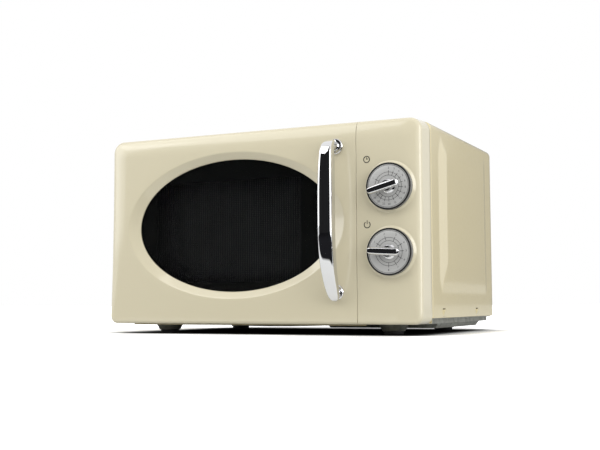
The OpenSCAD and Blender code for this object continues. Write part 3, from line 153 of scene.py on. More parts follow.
@dataclass(frozen=True)
class Finish:
    """One real material and how its surface was made.

    Attributes:
        name: Maker's name of the finish.
        colour: sRGB hex colour.
        roughness: Roughness of the shader.
        metallic: One for a bare metal.
        relief: Fine surface left by the process.
        grain_mm: Size of that surface's features in millimetres.
        depth_mm: Height of the relief in millimetres.
        shade: Second colour that the relief mixes in.
        shade_amount: How far the second colour shows.
        coat: Weight of a clear lacquer.
        coat_roughness: Roughness of that lacquer.
        ior: Index of refraction, for what isn't a metal.
        transmission: One for a clear glass.
    """

    name: str
    colour: str
    roughness: float
    metallic: float = 0.0
    relief: Relief = Relief.PLAIN
    grain_mm: float = 1.0
    depth_mm: float = 0.02
    shade: str = ""
    shade_amount: float = 0.3
    coat: float = 0.0
    coat_roughness: float = 0.05
    ior: float = 1.5
    transmission: float = 0.0

    def material(self) -> bpy.types.Material:
        """Build the material once, and hand the same one out after that."""
        known = bpy.data.materials.get(self.name)
        if known:
            return known
        made = bpy.data.materials.new(self.name)
        made.use_nodes = True
        made.diffuse_color = linear(self.colour)
        tree = made.node_tree
        shader = tree.nodes["Principled BSDF"]
        socket = shader.inputs
        socket["Base Color"].default_value = linear(self.colour)
        socket["Roughness"].default_value = self.roughness
        socket["Metallic"].default_value = self.metallic
        socket["Coat Weight"].default_value = self.coat
        socket["Coat Roughness"].default_value = self.coat_roughness
        socket["Transmission Weight"].default_value = self.transmission
        if self.metallic < 0.5:
            socket["IOR"].default_value = self.ior
        if self.depth_mm:
            self._relief(tree, shader)
        return made

    def _relief(self, tree: Tree, shader: bpy.types.Node) -> None:
        """Feed the shader's bump, colour and roughness from the process's own pattern.

        Args:
            tree: The material's node tree.
            shader: Its Principled shader.
        """
        place = node(tree, "TexCoord").outputs["Object"]
        scale = 1.0 / (self.grain_mm * MM)
        if self.relief is Relief.SPANGLE:
            cell = node(tree, "TexVoronoi", {"Vector": place, "Scale": scale}).outputs["Color"]
            height = node(tree, "RGBToBW", {"Color": cell}).outputs["Val"]
        elif self.relief is Relief.BRUSHED:
            drawn_out = node(tree, "Mapping", {"Vector": place, "Scale": (0.02, 1.0, 1.0)}).outputs["Vector"]
            pattern = {"Vector": drawn_out, "Scale": scale, "Detail": 3.0}
            height = node(tree, "TexNoise", pattern).outputs["Fac"]
        elif self.relief in (Relief.WOUND, Relief.LAMINATED):
            pattern = {"Vector": place, "Scale": scale / 2, "Distortion": 0.3, "Detail": 1.0}
            axis = "Z" if self.relief is Relief.WOUND else "Y"
            height = node(tree, "TexWave", pattern, bands_direction=axis, wave_profile="SIN").outputs["Fac"]
        else:
            pattern = {"Vector": place, "Scale": scale, "Detail": 2.0, "Roughness": 0.5}
            height = node(tree, "TexNoise", pattern).outputs["Fac"]
        bump = node(tree, "Bump", {"Height": height, "Distance": self.depth_mm * MM, "Strength": 1.0})
        tree.links.new(bump.outputs["Normal"], shader.inputs["Normal"])
        if self.shade:
            share = ramp(tree, height, 0.25, 0.75, 0.0, self.shade_amount)
            mixed = blend(tree, share, linear(self.colour), linear(self.shade))
            tree.links.new(mixed, shader.inputs["Base Color"])
        rough = ramp(tree, height, 0.2, 0.8, self.roughness * 0.85, min(1.0, self.roughness * 1.15))
        tree.links.new(rough, shader.inputs["Roughness"])


# Glossy ABS from a polished mould: even, soft reflections and no grain
ABS = Finish("moulded cream ABS", "D0C8AD", 0.30, depth_mm=0.0, coat=0.8, coat_roughness=0.07)
# Powder-free stoved enamel on steel: a fine orange peel
ENAMEL = Finish("stoved cream enamel", "D1C499", 0.36, relief=Relief.ORANGE_PEEL, grain_mm=5.0,
                depth_mm=0.001, coat=1.0, coat_roughness=0.06)
CAVITY_ENAMEL = Finish("grey oven enamel", "B9B7AF", 0.42, relief=Relief.ORANGE_PEEL, grain_mm=1.2,
                       depth_mm=0.01, shade="A7A59D", shade_amount=0.25)
# Decorative chrome on zinc: a mirror with a trace of haze
CHROME = Finish("bright chrome plate", "E4E4E6", 0.045, metallic=1.0, relief=Relief.ORANGE_PEEL,
                grain_mm=6.0, depth_mm=0.001)
ZINC = Finish("galvanised sheet", "8E8F88", 0.42, metallic=0.85, relief=Relief.SPANGLE, grain_mm=9.0,
              depth_mm=0.01, shade="6B6C67", shade_amount=0.5)
STEEL = Finish("zinc-plated steel", "B4B5B3", 0.35, metallic=1.0, relief=Relief.BRUSHED, grain_mm=0.8,
               depth_mm=0.01, shade="8E8F8E", shade_amount=0.35)
RUBBER = Finish("moulded black rubber", "1B1B1C", 0.72, relief=Relief.MOULD_GRAIN, grain_mm=0.7,
                depth_mm=0.05, shade="2A2A2B", shade_amount=0.5)
BLACK_PLASTIC = Finish("black polypropylene", "161617", 0.5, relief=Relief.MOULD_GRAIN, grain_mm=0.8,
                       depth_mm=0.03, shade="232324", shade_amount=0.4)
BLACK_PRINT = Finish("black ceramic print", "2E2E2C", 0.45, grain_mm=4.0, depth_mm=0.002)
SCREEN_PAINT = Finish("black painted perforated steel", "737374", 0.38, relief=Relief.ORANGE_PEEL,
                      grain_mm=1.0, depth_mm=0.01, shade="262627", shade_amount=0.5)
SMOKED_GLASS = Finish("smoked float glass", "C4C6C6", 0.015, grain_mm=60.0, depth_mm=0.004, ior=1.52,
                      transmission=1.0)
CLEAR_GLASS = Finish("tempered soda glass", "E9F2F0", 0.03, grain_mm=30.0, depth_mm=0.02, ior=1.5,
                     transmission=1.0)
# The dial's plate: silver lacquer over fine turned aluminium
DIAL_SILVER = Finish("silver lacquered aluminium", "C9C9C7", 0.38, metallic=0.25, relief=Relief.BRUSHED,
                     grain_mm=0.5, depth_mm=0.003, shade="A2A2A1", shade_amount=0.4)
DIAL_GREY = Finish("grey moulded ABS", "77787A", 0.3, relief=Relief.MOULD_GRAIN, grain_mm=0.8,
                   depth_mm=0.01)
INK = Finish("black dial ink", "343435", 0.5, grain_mm=1.0, depth_mm=0.002)
PANEL_INK = Finish("black pad print", "26241E", 0.5, grain_mm=1.0, depth_mm=0.002)
NYLON = Finish("natural nylon", "DAD7CC", 0.45, relief=Relief.MOULD_GRAIN, grain_mm=1.0, depth_mm=0.02,
               shade="CFCBBD", shade_amount=0.4)
COPPER_WIRE = Finish("enamelled copper winding", "A5532B", 0.32, metallic=0.8, relief=Relief.WOUND,
                     grain_mm=1.2, depth_mm=0.3, shade="5E2A14", shade_amount=0.7)
COPPER = Finish("drawn copper", "B87650", 0.3, metallic=1.0, relief=Relief.BRUSHED, grain_mm=0.8,
                depth_mm=0.01, shade="8C5334", shade_amount=0.3)
IRON = Finish("varnished laminated iron", "3B3D42", 0.45, metallic=0.6, relief=Relief.LAMINATED,
              grain_mm=1.2, depth_mm=0.15, shade="1E1F22", shade_amount=0.7)
FERRITE = Finish("pressed ferrite", "2B2B2D", 0.6, relief=Relief.MOULD_GRAIN, grain_mm=0.6, depth_mm=0.03,
                 shade="3A3A3C", shade_amount=0.5)
MICA = Finish("mica sheet", "B7AA8C", 0.35, relief=Relief.SPANGLE, grain_mm=7.0, depth_mm=0.02,
              shade="9A8D70", shade_amount=0.5)
CAN = Finish("drawn aluminium can", "BFC0C0", 0.3, metallic=1.0, relief=Relief.BRUSHED, grain_mm=0.6,
             depth_mm=0.01)
BOARD = Finish("green solder mask", "1F5A33", 0.35, grain_mm=2.0, depth_mm=0.01, shade="184A29",
               shade_amount=0.5)

# The frame's nodes, by the finish that each one has
NODE_FINISH: dict[str, Finish] = {name: finish for finish, names in (
    (ENAMEL, "front_plate door_plate"),
    (CAVITY_ENAMEL, "oven_cavity cavity_floor"),
    (ZINC, "back_panel base_plate waveguide magnetron_yoke magnetron_filter"),
    (BLACK_PLASTIC, "cord_gland choke_cover door_switches hv_diode fan_shroud fan_blade"),
    (STEEL, "control_bracket timer_motor timer_shaft power_shaft handle_screws plate_screws latch_spring "
            "upper_hinge lower_hinge capacitor_clamp lamp_holder turntable_motor cover_screws"),
    (NYLON, "timer_unit power_switch latch_plate latch_body thermal_cutout turntable_coupler roller_ring "
            "roller_1 roller_2 roller_3"),
    (IRON, "transformer_core fan_motor"), (COPPER_WIRE, "transformer_windings fan_coil"), (CAN, "capacitor"),
    (COPPER, "magnetron_anode"), (FERRITE, "magnetron_magnets"), (MICA, "mica_cover"),
    (BOARD, "filter_board"), (SMOKED_GLASS, "door_glass"), (CLEAR_GLASS, "oven_lamp glass_tray"),
) for name in names.split()}
# The imported frame: its bodies, nodes, joints and record
FRAME: dict[str, Any] = {}


# ------------------------------------------------------------------ surfaces


def linked(name: str, data: bpy.types.ID) -> Piece:
    """Make an object of some data and link it to the scene."""
    made = bpy.data.objects.new(name, data)
    bpy.context.scene.collection.objects.link(made)
    return made


def surface(name: str, points: Points, finish: Finish, wrap_u: bool = False, wrap_v: bool = False,
            sharp_deg: float = 35.0) -> Piece:
    """Turn a grid of points into a smooth-shaded object at the origin.

    Args:
        name: Name of the object.
        points: Array of shape (rows, columns, 3), in metres.
        finish: Material of the surface.
        wrap_u: Join the last row to the first.
        wrap_v: Join the last column to the first.
        sharp_deg: Edges that turn by more than this stay crisp.

    Returns:
        The new object, linked to the scene.
    """
    rows, cols = points.shape[:2]
    i = np.arange(rows if wrap_u else rows - 1)
    j = np.arange(cols if wrap_v else cols - 1)
    a, b = np.meshgrid(i, j, indexing="ij")
    a2, b2 = (a + 1) % rows, (b + 1) % cols
    quads = np.stack([a * cols + b, a * cols + b2, a2 * cols + b2, a2 * cols + b], -1).reshape(-1, 4)
    return shell(name, points.reshape(-1, 3), quads, finish, sharp_deg)


def shell(name: str, verts: Points, faces: Points, finish: Finish, sharp_deg: float = 35.0) -> Piece:
    """Make an object of one mesh, with doubled points merged and its normals turned outwards.

    Args:
        name: Name of the object.
        verts: Array of shape (n, 3), in metres.
        faces: Array of shape (m, 3 or 4) of point numbers.
        finish: Material of the mesh.
        sharp_deg: Edges that turn by more than this stay crisp.

    Returns:
        The new object, linked to the scene.
    """
    mesh = bpy.data.meshes.new(name)
    mesh.from_pydata(verts.tolist(), [], faces.tolist())
    return finished(name, mesh, finish, sharp_deg)


def finished(name: str, mesh: bpy.types.Mesh, finish: Finish, sharp_deg: float = 35.0,
             outwards: bool = True) -> Piece:
    """Clean a mesh, shade it and link it as an object.

    Args:
        name: Name of the object.
        mesh: The mesh to finish.
        finish: Its material.
        sharp_deg: Edges that turn by more than this stay crisp.
        outwards: Recalculate the normals of closed parts.

    Returns:
        The new object.
    """
    work = bmesh.new()
    work.from_mesh(mesh)
    bmesh.ops.remove_doubles(work, verts=work.verts, dist=2e-6)
    bmesh.ops.dissolve_degenerate(work, edges=work.edges, dist=1e-6)
    if outwards:
        bmesh.ops.recalc_face_normals(work, faces=work.faces)
    work.to_mesh(mesh)
    work.free()
    mesh.shade_smooth()
    mesh.set_sharp_from_angle(angle=math.radians(sharp_deg))
    mesh.materials.clear()
    mesh.materials.append(finish.material())
    return linked(name, mesh)


def join(name: str, parts: list[Piece], finish: Finish) -> Piece:
    """Join pieces into one mesh and merge their shared points."""
    work = bmesh.new()
    for part in parts:
        work.from_mesh(part.data)
        bpy.data.objects.remove(part)
    mesh = bpy.data.meshes.new(name)
    work.to_mesh(mesh)
    work.free()
    return finished(name, mesh, finish)


def revolve(profile: Points, centre: Spot, turns: int = 96) -> Points:
    """Carry a profile round an axis along Y.

    Each profile point (r, y) becomes a ring of radius r at depth y round the centre.

    Args:
        profile: Array of shape (n, 2) of radius and depth, in metres.
        centre: A point on the axis.
        turns: Points in each ring.

    Returns:
        Grid of shape (n, turns, 3).
    """
    angle = np.linspace(0, 2 * np.pi, turns, endpoint=False)
    r, y = profile[:, :1], profile[:, 1:]
    return np.stack([centre[0] + r * np.sin(angle), centre[1] + y + 0 * angle,
                     centre[2] + r * np.cos(angle)], -1)


def turned(name: str, profile_mm: Any, centre: Spot, finish: Finish, turns: int,
           closed: bool = False) -> Piece:
    """Turn a profile round an axis along Y, as a piece.

    Args:
        name: Name of the piece.
        profile_mm: Radius and depth of each profile point, in millimetres.
        centre: A point on the axis, in metres.
        finish: Its material.
        turns: Points in each ring.
        closed: Join the profile's last point to its first.

    Returns:
        The piece.
    """
    grid = revolve(np.array(profile_mm) * MM, centre, turns)
    return surface(name, grid, finish, wrap_u=closed, wrap_v=True)


def bend(corner: Pair, radius: float, start: float, end: float, steps: int = 8) -> Points:
    """Give the points of an arc round a corner's centre, from one angle to the other, in degrees."""
    a = np.radians(np.linspace(start, end, steps))
    return np.stack([corner[0] + radius * np.cos(a), corner[1] + radius * np.sin(a)], -1)


def ease(t: Points) -> Points:
    """Blend from 0 to 1 with level ends: three t squared less two t cubed, with t held in 0..1."""
    t = np.clip(t, 0.0, 1.0)
    return t * t * (3 - 2 * t)


def fillet_drop(inset: Points, width: Points | float, depth: Points | float) -> Points:
    """Give how far a rounded edge falls away at a distance inside its rim.

    It is a quarter ellipse: depth times 1 - sqrt(1 - (1 - s / width)^2) for an inset s below the
    width, and nought beyond.
    """
    left = 1 - np.clip(inset / width, 0.0, 1.0)
    return depth * (1 - np.sqrt(np.maximum(1 - left ** 2, 0.0)))


def rim_distance(u: Points, v: Points, radius: Points) -> Points:
    """Give how far a point lies inside a rectangle whose corners are rounded by a radius.

    Args:
        u: Distance to the nearer upright side.
        v: Distance to the nearer level side.
        radius: Radius of the corner.

    Returns:
        The lesser distance, or within a corner's square the radius less the way to its centre.
    """
    corner = radius - np.hypot(np.maximum(radius - u, 0), np.maximum(radius - v, 0))
    return np.where((u < radius) & (v < radius), corner, np.minimum(u, v))


def rounded_loop(low: Pair, high: Pair, radii: tuple[float, float, float, float],
                 side: int = 40, corner: int = 12) -> Points:
    """Sample a rectangle with rounded corners, anticlockwise from the lower left.

    Each corner is a quarter circle, and each side a straight run with the same count of points, so
    that loops of other sizes match point by point.

    Args:
        low: Lower left corner.
        high: Upper right corner.
        radii: Radius at the lower left, lower right, upper right and upper left.
        side: Points on each side.
        corner: Points on each corner.

    Returns:
        Array of shape (4 * (side + corner), 2).
    """
    (x0, z0), (x1, z1) = low, high
    r = [max(v, 2e-5) for v in radii]
    centres = [(x0 + r[0], z0 + r[0]), (x1 - r[1], z0 + r[1]), (x1 - r[2], z1 - r[2]), (x0 + r[3], z1 - r[3])]
    arcs = [bend(c, q, 180 + 90 * k, 270 + 90 * k, corner) for k, (c, q) in enumerate(zip(centres, r))]
    t = ((np.arange(side) + 1) / (side + 1))[:, None]
    runs = [arcs[k][-1] * (1 - t) + arcs[(k + 1) % 4][0] * t for k in range(4)]
    return np.concatenate([part for k in range(4) for part in (arcs[k], runs[k])])


def lift(loop: Points, depth: Points | float) -> Points:
    """Turn a loop of (x, z) into points in space, at a depth along Y."""
    return np.stack([loop[:, 0], np.broadcast_to(depth, loop.shape[:1]), loop[:, 1]], -1)


def cut(target: Piece, low: Points, high: Points) -> None:
    """Cut a box out of a piece.

    Args:
        target: Piece that is cut, in place.
        low: The box's lowest corner.
        high: The box's highest corner.
    """
    corner = np.array([[x, y, z] for x in (0, 1) for y in (0, 1) for z in (0, 1)], float)
    faces = np.array([[0, 1, 3, 2], [4, 6, 7, 5], [0, 4, 5, 1], [2, 3, 7, 6], [0, 2, 6, 4], [1, 5, 7, 3]])
    mesh = bpy.data.meshes.new("cutter")
    mesh.from_pydata((np.array(low) + corner * (np.array(high) - np.array(low))).tolist(), [], faces.tolist())
    tool = linked("cutter", mesh)
    step = target.modifiers.new("cut", "BOOLEAN")
    step.object, step.operation, step.solver = tool, "DIFFERENCE", "EXACT"
    graph = bpy.context.evaluated_depsgraph_get()
    result = bpy.data.meshes.new_from_object(target.evaluated_get(graph))
    target.modifiers.clear()
    target.data = result
    bpy.data.objects.remove(tool)


def sheet(piece: Piece, thickness: float, offset: float) -> None:
    """Give a skin its thickness: to one side for an offset of 1 or -1, to both for 0."""
    skin = piece.modifiers.new("sheet", "SOLIDIFY")
    skin.thickness, skin.offset = thickness, offset


def keep(piece: Piece, body: str, *nodes: str) -> None:
    """Let a piece ride on a body, in place of the nodes named.

    Args:
        piece: The new piece.
        body: Body that it rides on.
        *nodes: Nodes of the frame that it stands for.
    """
    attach(piece, body)
    if nodes:
        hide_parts(*nodes)
    LOG.info("%s: %s", body, piece.name)


def dress_copy(name: str, finish: Finish, body: str, bevel_mm: float = 0.0) -> None:
    """Stand a merged, softly beveled copy in for a solid whose form is right.

    Args:
        name: Node of the frame.
        finish: Its material.
        body: Body that it rides on.
        bevel_mm: Width of the bevel on its sharp edges.
    """
    made = finished(name + "_dressed", FRAME["nodes"][name].data.copy(), finish, 30.0, outwards=False)
    if bevel_mm:
        edge = made.modifiers.new("edge", "BEVEL")
        edge.width, edge.segments, edge.limit_method = bevel_mm * MM, 2, "ANGLE"
        edge.angle_limit = math.radians(40)
    flat = made.modifiers.new("flat", "WEIGHTED_NORMAL")
    flat.keep_sharp = True
    keep(made, body, name)


# ------------------------------------------------------------------ the oven


@dataclass
class Layout:
    """Sizes that the pieces share, in metres: first those read from the frame.

    Attributes:
        face: Y of the door's face.
        left, right, low, top: Limits of the whole front.
        seam, seam_gap: X of the door's free edge, and the gap between it and the panel.
        door_d: Depth of the door.
        edge_w, edge_d: Width and depth of the rounded edge, high up on the front.
        low_edge: Width and depth of the tighter edge along the bottom.
        edge_rise: Height over which the tight edge opens into the wide one.
        draft: How far the outer sides lean in towards the front.
        corner_r, low_corner_r: Radii of the front's upper and lower corners.
        wall: Wall of the mouldings.
        window_mid, window_half: Middle and half axes of the oval window.
        rim_ratio, rim_d: Size of the rim's inner oval next to the outer one, and its depth.
    """

    face: float
    left: float
    right: float
    seam: float
    seam_gap: float
    low: float
    top: float
    door_d: float
    edge_w: float = 25 * MM
    edge_d: float = 8 * MM
    low_edge: float = 4 * MM
    edge_rise: float = 180 * MM
    draft: float = 1.3 * MM
    corner_r: float = 15.6 * MM
    low_corner_r: float = 10 * MM
    wall: float = 2.5 * MM
    window_mid: Pair = (-33.5 * MM, 137.5 * MM)
    window_half: Pair = (155.5 * MM, 93.0 * MM)
    rim_ratio: float = 0.907
    rim_d: float = 7 * MM

    @classmethod
    def from_frame(cls) -> Layout:
        """Read the front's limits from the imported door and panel."""
        door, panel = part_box("door_frame"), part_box("control_panel")
        return cls(face=door[0][1], left=door[0][0], right=panel[1][0], seam=door[1][0],
                   seam_gap=panel[0][0] - door[1][0], low=door[0][2], top=door[1][2],
                   door_d=door[1][1] - door[0][1])

    def y(self, depth_mm: float) -> float:
        """Turn a depth in millimetres behind the door's face into the frame's Y."""
        return self.face + depth_mm * MM

    def front_drop(self, loop: Points) -> Points:
        """Give how far the front falls away at each point, over the whole width of the oven.

        The front is one rounded rectangle: the distance to its rim sets the drop of the rounded
        edge. Along the bottom it is tight, and up the sides it widens over edge_rise as
        1 - (1 - q)^2. The corners open from their own radius at the rim to the edge's width
        further in, so that the face has no crease.

        Args:
            loop: Array of (x, z).

        Returns:
            The drop at each point, in metres.
        """
        x, z = loop[:, 0], loop[:, 1]
        share = 1 - (1 - np.clip((z - self.low) / self.edge_rise, 0.0, 1.0)) ** 2
        width = self.low_edge + (self.edge_w - self.low_edge) * share
        depth = self.low_edge + (self.edge_d - self.low_edge) * share
        tight_r = np.where(z > (self.low + self.top) / 2, self.corner_r, self.low_corner_r)
        u = np.maximum(np.minimum(x - self.left, self.right - x) - self.draft, 0.0)
        v = np.maximum(np.minimum(z - self.low, self.top - self.draft - z), 0.0)
        tight = rim_distance(u, v, tight_r)
        wide = rim_distance(u, v, np.maximum(width, tight_r))
        inward = ease(tight / tight_r)
        return fillet_drop(tight * (1 - inward) + wide * inward, width, depth)


@dataclass
class Moulding:
    """A moulded shell of the front: its outline, its rounded outer edges and its crisp seam edge.

    Attributes:
        lay: The oven's layout.
        x0, x1: Left and right limit.
        outer_left: True where the left side is the oven's outer side.
        depth: Depth from the face to the rear rim.
        seam_r: Radius of the edge along the seam.
        hinge_r: Radius to which the outer side rounds off to the rear.
        side, corner, turn: Points on a side and on a corner, and loops over the rounded edge.
        tighten: How fast the corner's radius shrinks as the outline is drawn in.
    """

    lay: Layout
    x0: float
    x1: float
    outer_left: bool
    depth: float
    seam_r: float = 0.5 * MM
    hinge_r: float = 10 * MM
    side: int = 56
    corner: int = 14
    turn: int = 13
    tighten: float = 0.35

    def loop(self, t: float, grow: float = 0.0, rear: float = 0.0, draft: float | None = None) -> Points:
        """Sample the outline at a step of the rounded edge.

        Args:
            t: 0 at the silhouette, 1 where the edge runs out into the flat face.
            grow: Extra inset of the whole outline, for the inner wall.
            rear: Extra inset of the outer side, where it rounds off to the rear.
            draft: Inset of the outer sides, which the mould needs; the full draft if none is given.

        Returns:
            The outline's (x, z).
        """
        lay = self.lay
        part = 1 - math.cos(t * math.pi / 2)
        draft = lay.draft if draft is None else draft
        outer, seam = lay.edge_w * part + grow + draft, self.seam_r * part + grow
        bottom = lay.low_edge * part + grow
        x0 = self.x0 + (outer + rear if self.outer_left else seam)
        x1 = self.x1 - (seam if self.outer_left else outer + rear)
        high, low = lay.corner_r - self.tighten * outer, lay.low_corner_r - self.tighten * bottom
        crisp = 3e-4
        radii = (low, crisp, crisp, high) if self.outer_left else (crisp, low, high, crisp)
        return rounded_loop((x0, lay.low + bottom), (x1, lay.top - outer), radii, self.side, self.corner)

    def drop(self, loop: Points, inset: float = 0.0) -> Points:
        """Give the depth of the front skin at a loop: the oven's own rounding and the seam's."""
        gap = self.x1 - loop[:, 0] if self.outer_left else loop[:, 0] - self.x0
        return np.maximum(self.lay.front_drop(loop), fillet_drop(gap - inset, self.seam_r, self.seam_r))

    def outer_rows(self) -> list[Points]:
        """Give the loops from the flat face, over the rounded edge, back to the rear rim."""
        rows = [lift(self.loop(t), self.lay.face + self.drop(self.loop(t)))
                for t in np.linspace(1, 0, self.turn)]
        last = self.drop(self.loop(0.0))
        straight = self.depth - self.hinge_r
        for s in np.linspace(0.15, 1.0, 6):
            loop = self.loop(0.0, draft=self.lay.draft * (1 - s))
            rows.append(lift(loop, self.lay.face + last + (straight - last) * s))
        for a in np.radians([18, 36, 54, 72, 90]):
            rear = self.hinge_r * (1 - math.cos(a))
            rows.append(lift(self.loop(0.0, rear=rear, draft=0.0),
                             self.lay.face + straight + self.hinge_r * math.sin(a)))
        return rows

    def inner_rows(self) -> list[Points]:
        """Give the loops of the inner wall, from the rear rim to behind the flat face."""
        wall, rear = self.lay.wall, self.hinge_r
        rows = [lift(self.loop(0.0, grow=wall, rear=rear, draft=0.0), self.lay.face + self.depth),
                lift(self.loop(0.0, grow=wall), self.lay.face + self.depth - max(rear, 1e-3))]
        for t in np.linspace(0, 1, 6):
            loop = self.loop(t, grow=wall)
            behind = wall + np.minimum(self.drop(loop, wall), self.depth - 2 * wall)
            rows.append(lift(loop, self.lay.face + behind))
        return rows


@dataclass
class Door:
    """The door: its moulded frame, smoked glass, screen, print and chrome handle."""

    lay: Layout

    def oval(self, ratio: float, depth: float, loop: Points, grow: float = 0.0) -> Points:
        """Sample the window's ellipse at the angles at which a loop's points stand round its middle.

        Args:
            ratio: Size of the ellipse next to the window's own.
            depth: Its depth behind the door's face.
            loop: Outline whose points set the angles.
            grow: Extra length of both half axes.

        Returns:
            Points in space, one for each point of the loop.
        """
        mx, mz = self.lay.window_mid
        a, b = (v * ratio + grow for v in self.lay.window_half)
        turn = np.arctan2((loop[:, 1] - mz) / b, (loop[:, 0] - mx) / a)
        ring = np.stack([mx + a * np.cos(turn), mz + b * np.sin(turn)], -1)
        return lift(ring, self.lay.face + depth)

    def frame(self) -> None:
        """Build the frame as one closed ring of loops: rim, face, edges, inner wall and back."""
        lay = self.lay
        form = Moulding(lay, lay.left, lay.seam, True, lay.door_d)
        flat = form.loop(1.0)
        lip, wall = 0.8 * MM, lay.wall
        rim = [self.oval(lay.rim_ratio - 0.004, lay.rim_d + 1.2 * MM, flat),
               self.oval(lay.rim_ratio, lay.rim_d, flat)]
        slope = lay.rim_d / ((1 - lay.rim_ratio) * lay.window_half[0])
        for t in np.linspace(0.12, 0.92, 6):
            rim.append(self.oval(lay.rim_ratio + (1 - lay.rim_ratio) * t, lay.rim_d * (1 - t), flat))
        rim.append(self.oval(1.0, lip * 0.25 * slope, flat))
        rim.append(self.oval(1.0, 0.0, flat, grow=lip))
        front = lift(flat, lay.face + form.drop(flat))
        face = [rim[-1] * (1 - t) + front * t for t in np.linspace(0.15, 0.9, 7)]
        back = [self.oval(1.0, wall, flat, grow=wall),
                self.oval(lay.rim_ratio, lay.rim_d + 0.2 * MM, flat, grow=wall)]
        rows = rim + face + form.outer_rows() + form.inner_rows() + back
        frame = surface("door_moulding", np.stack(rows), ABS, wrap_u=True, wrap_v=True)
        # The slots that clear the hinges' tongues, near the lower and the upper end
        height, near, far = lay.top - lay.low, 3.5 * MM, 7.7 * MM
        for z0, z1 in ((near, far), (height - far, height - near)):
            cut(frame, (lay.left - 1 * MM, lay.y(18), lay.low + z0),
                (lay.left + 24 * MM, lay.y(39), lay.low + z1))
        keep(frame, "door", "door_frame")

    def print_mask(self) -> None:
        """Print the black border on the back of the glass, round a clear rectangle."""
        low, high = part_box("door_glass")
        inset, print_h, outer_r, inner_r = 1 * MM, 0.1 * MM, 5 * MM, 3 * MM
        outer = rounded_loop((low[0] + inset, low[2] + inset), (high[0] - inset, high[2] - inset),
                             (outer_r,) * 4)
        clear = ((-149 * MM, 66 * MM), (61 * MM, 195.5 * MM))
        inner = rounded_loop(*clear, (inner_r,) * 4)
        y = high[1] + 0.05 * MM
        rows = [lift(outer, y), lift(inner, y), lift(inner, y + print_h), lift(outer, y + print_h)]
        keep(surface("glass_print", np.stack(rows), BLACK_PRINT, wrap_u=True, wrap_v=True), "door")

    def screen(self) -> None:
        """Perforate the screen in straight columns: each cell is a tile with an upright six-sided hole.

        Cell (i, j) stands at (i * pitch_x, j * pitch_z). Its outer ring is the tile's four corners
        and the middles of its upper and lower sides, and its inner ring the hole's six corners.
        """
        low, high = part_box("door_screen")
        pitch_x, pitch_z, hole = 3.3 * MM, 2.4 * MM, np.array([0.54 * MM, 0.98 * MM])
        nx = int((high[0] - low[0] - 0.004) / pitch_x)
        nz = int((high[2] - low[2] - 0.004) / pitch_z)
        i, j = np.meshgrid(np.arange(nx), np.arange(nz), indexing="ij")
        cx = (low[0] + high[0]) / 2 + (i - (nx - 1) / 2) * pitch_x
        cz = (low[2] + high[2]) / 2 + (j - (nz - 1) / 2) * pitch_z
        a = np.radians(30 + 60 * np.arange(6))
        ring = np.stack([np.cos(a), np.sin(a)], -1)
        tile = np.array([[1, 1], [0, 1], [-1, 1], [-1, -1], [0, -1], [1, -1]]) * (pitch_x / 2, pitch_z / 2)
        centre = np.stack([cx.ravel(), cz.ravel()], -1)[:, None, :]
        both = np.concatenate([centre + tile, centre + ring * hole], 1)
        y = (low[1] + high[1]) / 2
        verts = np.stack([both[..., 0], np.full(both.shape[:2], y), both[..., 1]], -1).reshape(-1, 3)
        k = np.arange(6)
        quad = np.stack([k, (k + 1) % 6, (k + 1) % 6 + 6, k + 6], -1)
        faces = (12 * np.arange(len(centre))[:, None, None] + quad).reshape(-1, 4)
        mesh = shell("perforated_screen", verts, faces, SCREEN_PAINT)
        sheet(mesh, 0.4 * MM, 0.0)
        keep(mesh, "door", "door_screen")

    def handle(self) -> None:
        """Sweep the bow: a flattened superellipse carried along a curve that bends home at its ends.

        Along s in -1..1 the bow comes home by 25 |s|^2.7 mm below the middle and by 5 |s|^3.3 +
        18 |s|^24 mm above it, and its half width and half thickness taper as 1 - c |s|^q. The section
        is (a sgn cos |cos|^e, b sgn sin |sin|^e), with a smaller e on the right.
        """
        low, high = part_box("handle")
        mid_x, mid_z = (low[0] + high[0]) / 2, (low[2] + high[2]) / 2
        half_w, half_t, half_h = (high[0] - low[0]) / 2, 7.5 * MM, (high[2] - low[2]) / 2
        thinning, narrowing = 0.55, 0.27
        s = np.linspace(-1, 1, 121)[:, None]
        a = np.linspace(0, 2 * np.pi, 72, endpoint=False)[None, :]
        size = np.abs(s)
        thick = half_t * (1 - thinning * size ** np.where(s > 0, 12, 2.4))
        wide = half_w * (1 - narrowing * size ** 3)
        home = np.where(s > 0, 5 * size ** 3.3 + 18 * size ** 24, 25 * size ** 2.7) * MM
        out = self.lay.face - low[1] - thick.max() - home
        close = np.sqrt(np.clip(1 - size ** 22, 0, 1))
        section_x = np.sign(np.cos(a)) * np.abs(np.cos(a)) ** np.where(np.cos(a) > 0, 0.26, 0.42)
        section_y = np.sign(np.sin(a)) * np.abs(np.sin(a)) ** 0.52
        grid = np.stack([mid_x + close * wide * section_x,
                         self.lay.face - out + close * thick * section_y,
                         mid_z + half_h * s + 0 * a], -1)
        bow = surface("handle_bow", grid, CHROME, wrap_v=True, sharp_deg=60)
        keep(bow, "door", "handle")
        profile = [(0, -9.5), (5.6, -9.5), (5.4, -6), (5.6, -3.8), (6.6, -3.2), (8.6, -3), (9.4, -2.3),
                   (9.7, -1.4), (9.7, -0.5), (9.3, 0), (0, 0)]
        for n, z in enumerate((mid_z - 86 * MM, mid_z + 90 * MM), 1):
            keep(turned(f"handle_post_{n}", profile, (mid_x, self.lay.face, z), CHROME, 64), "door")


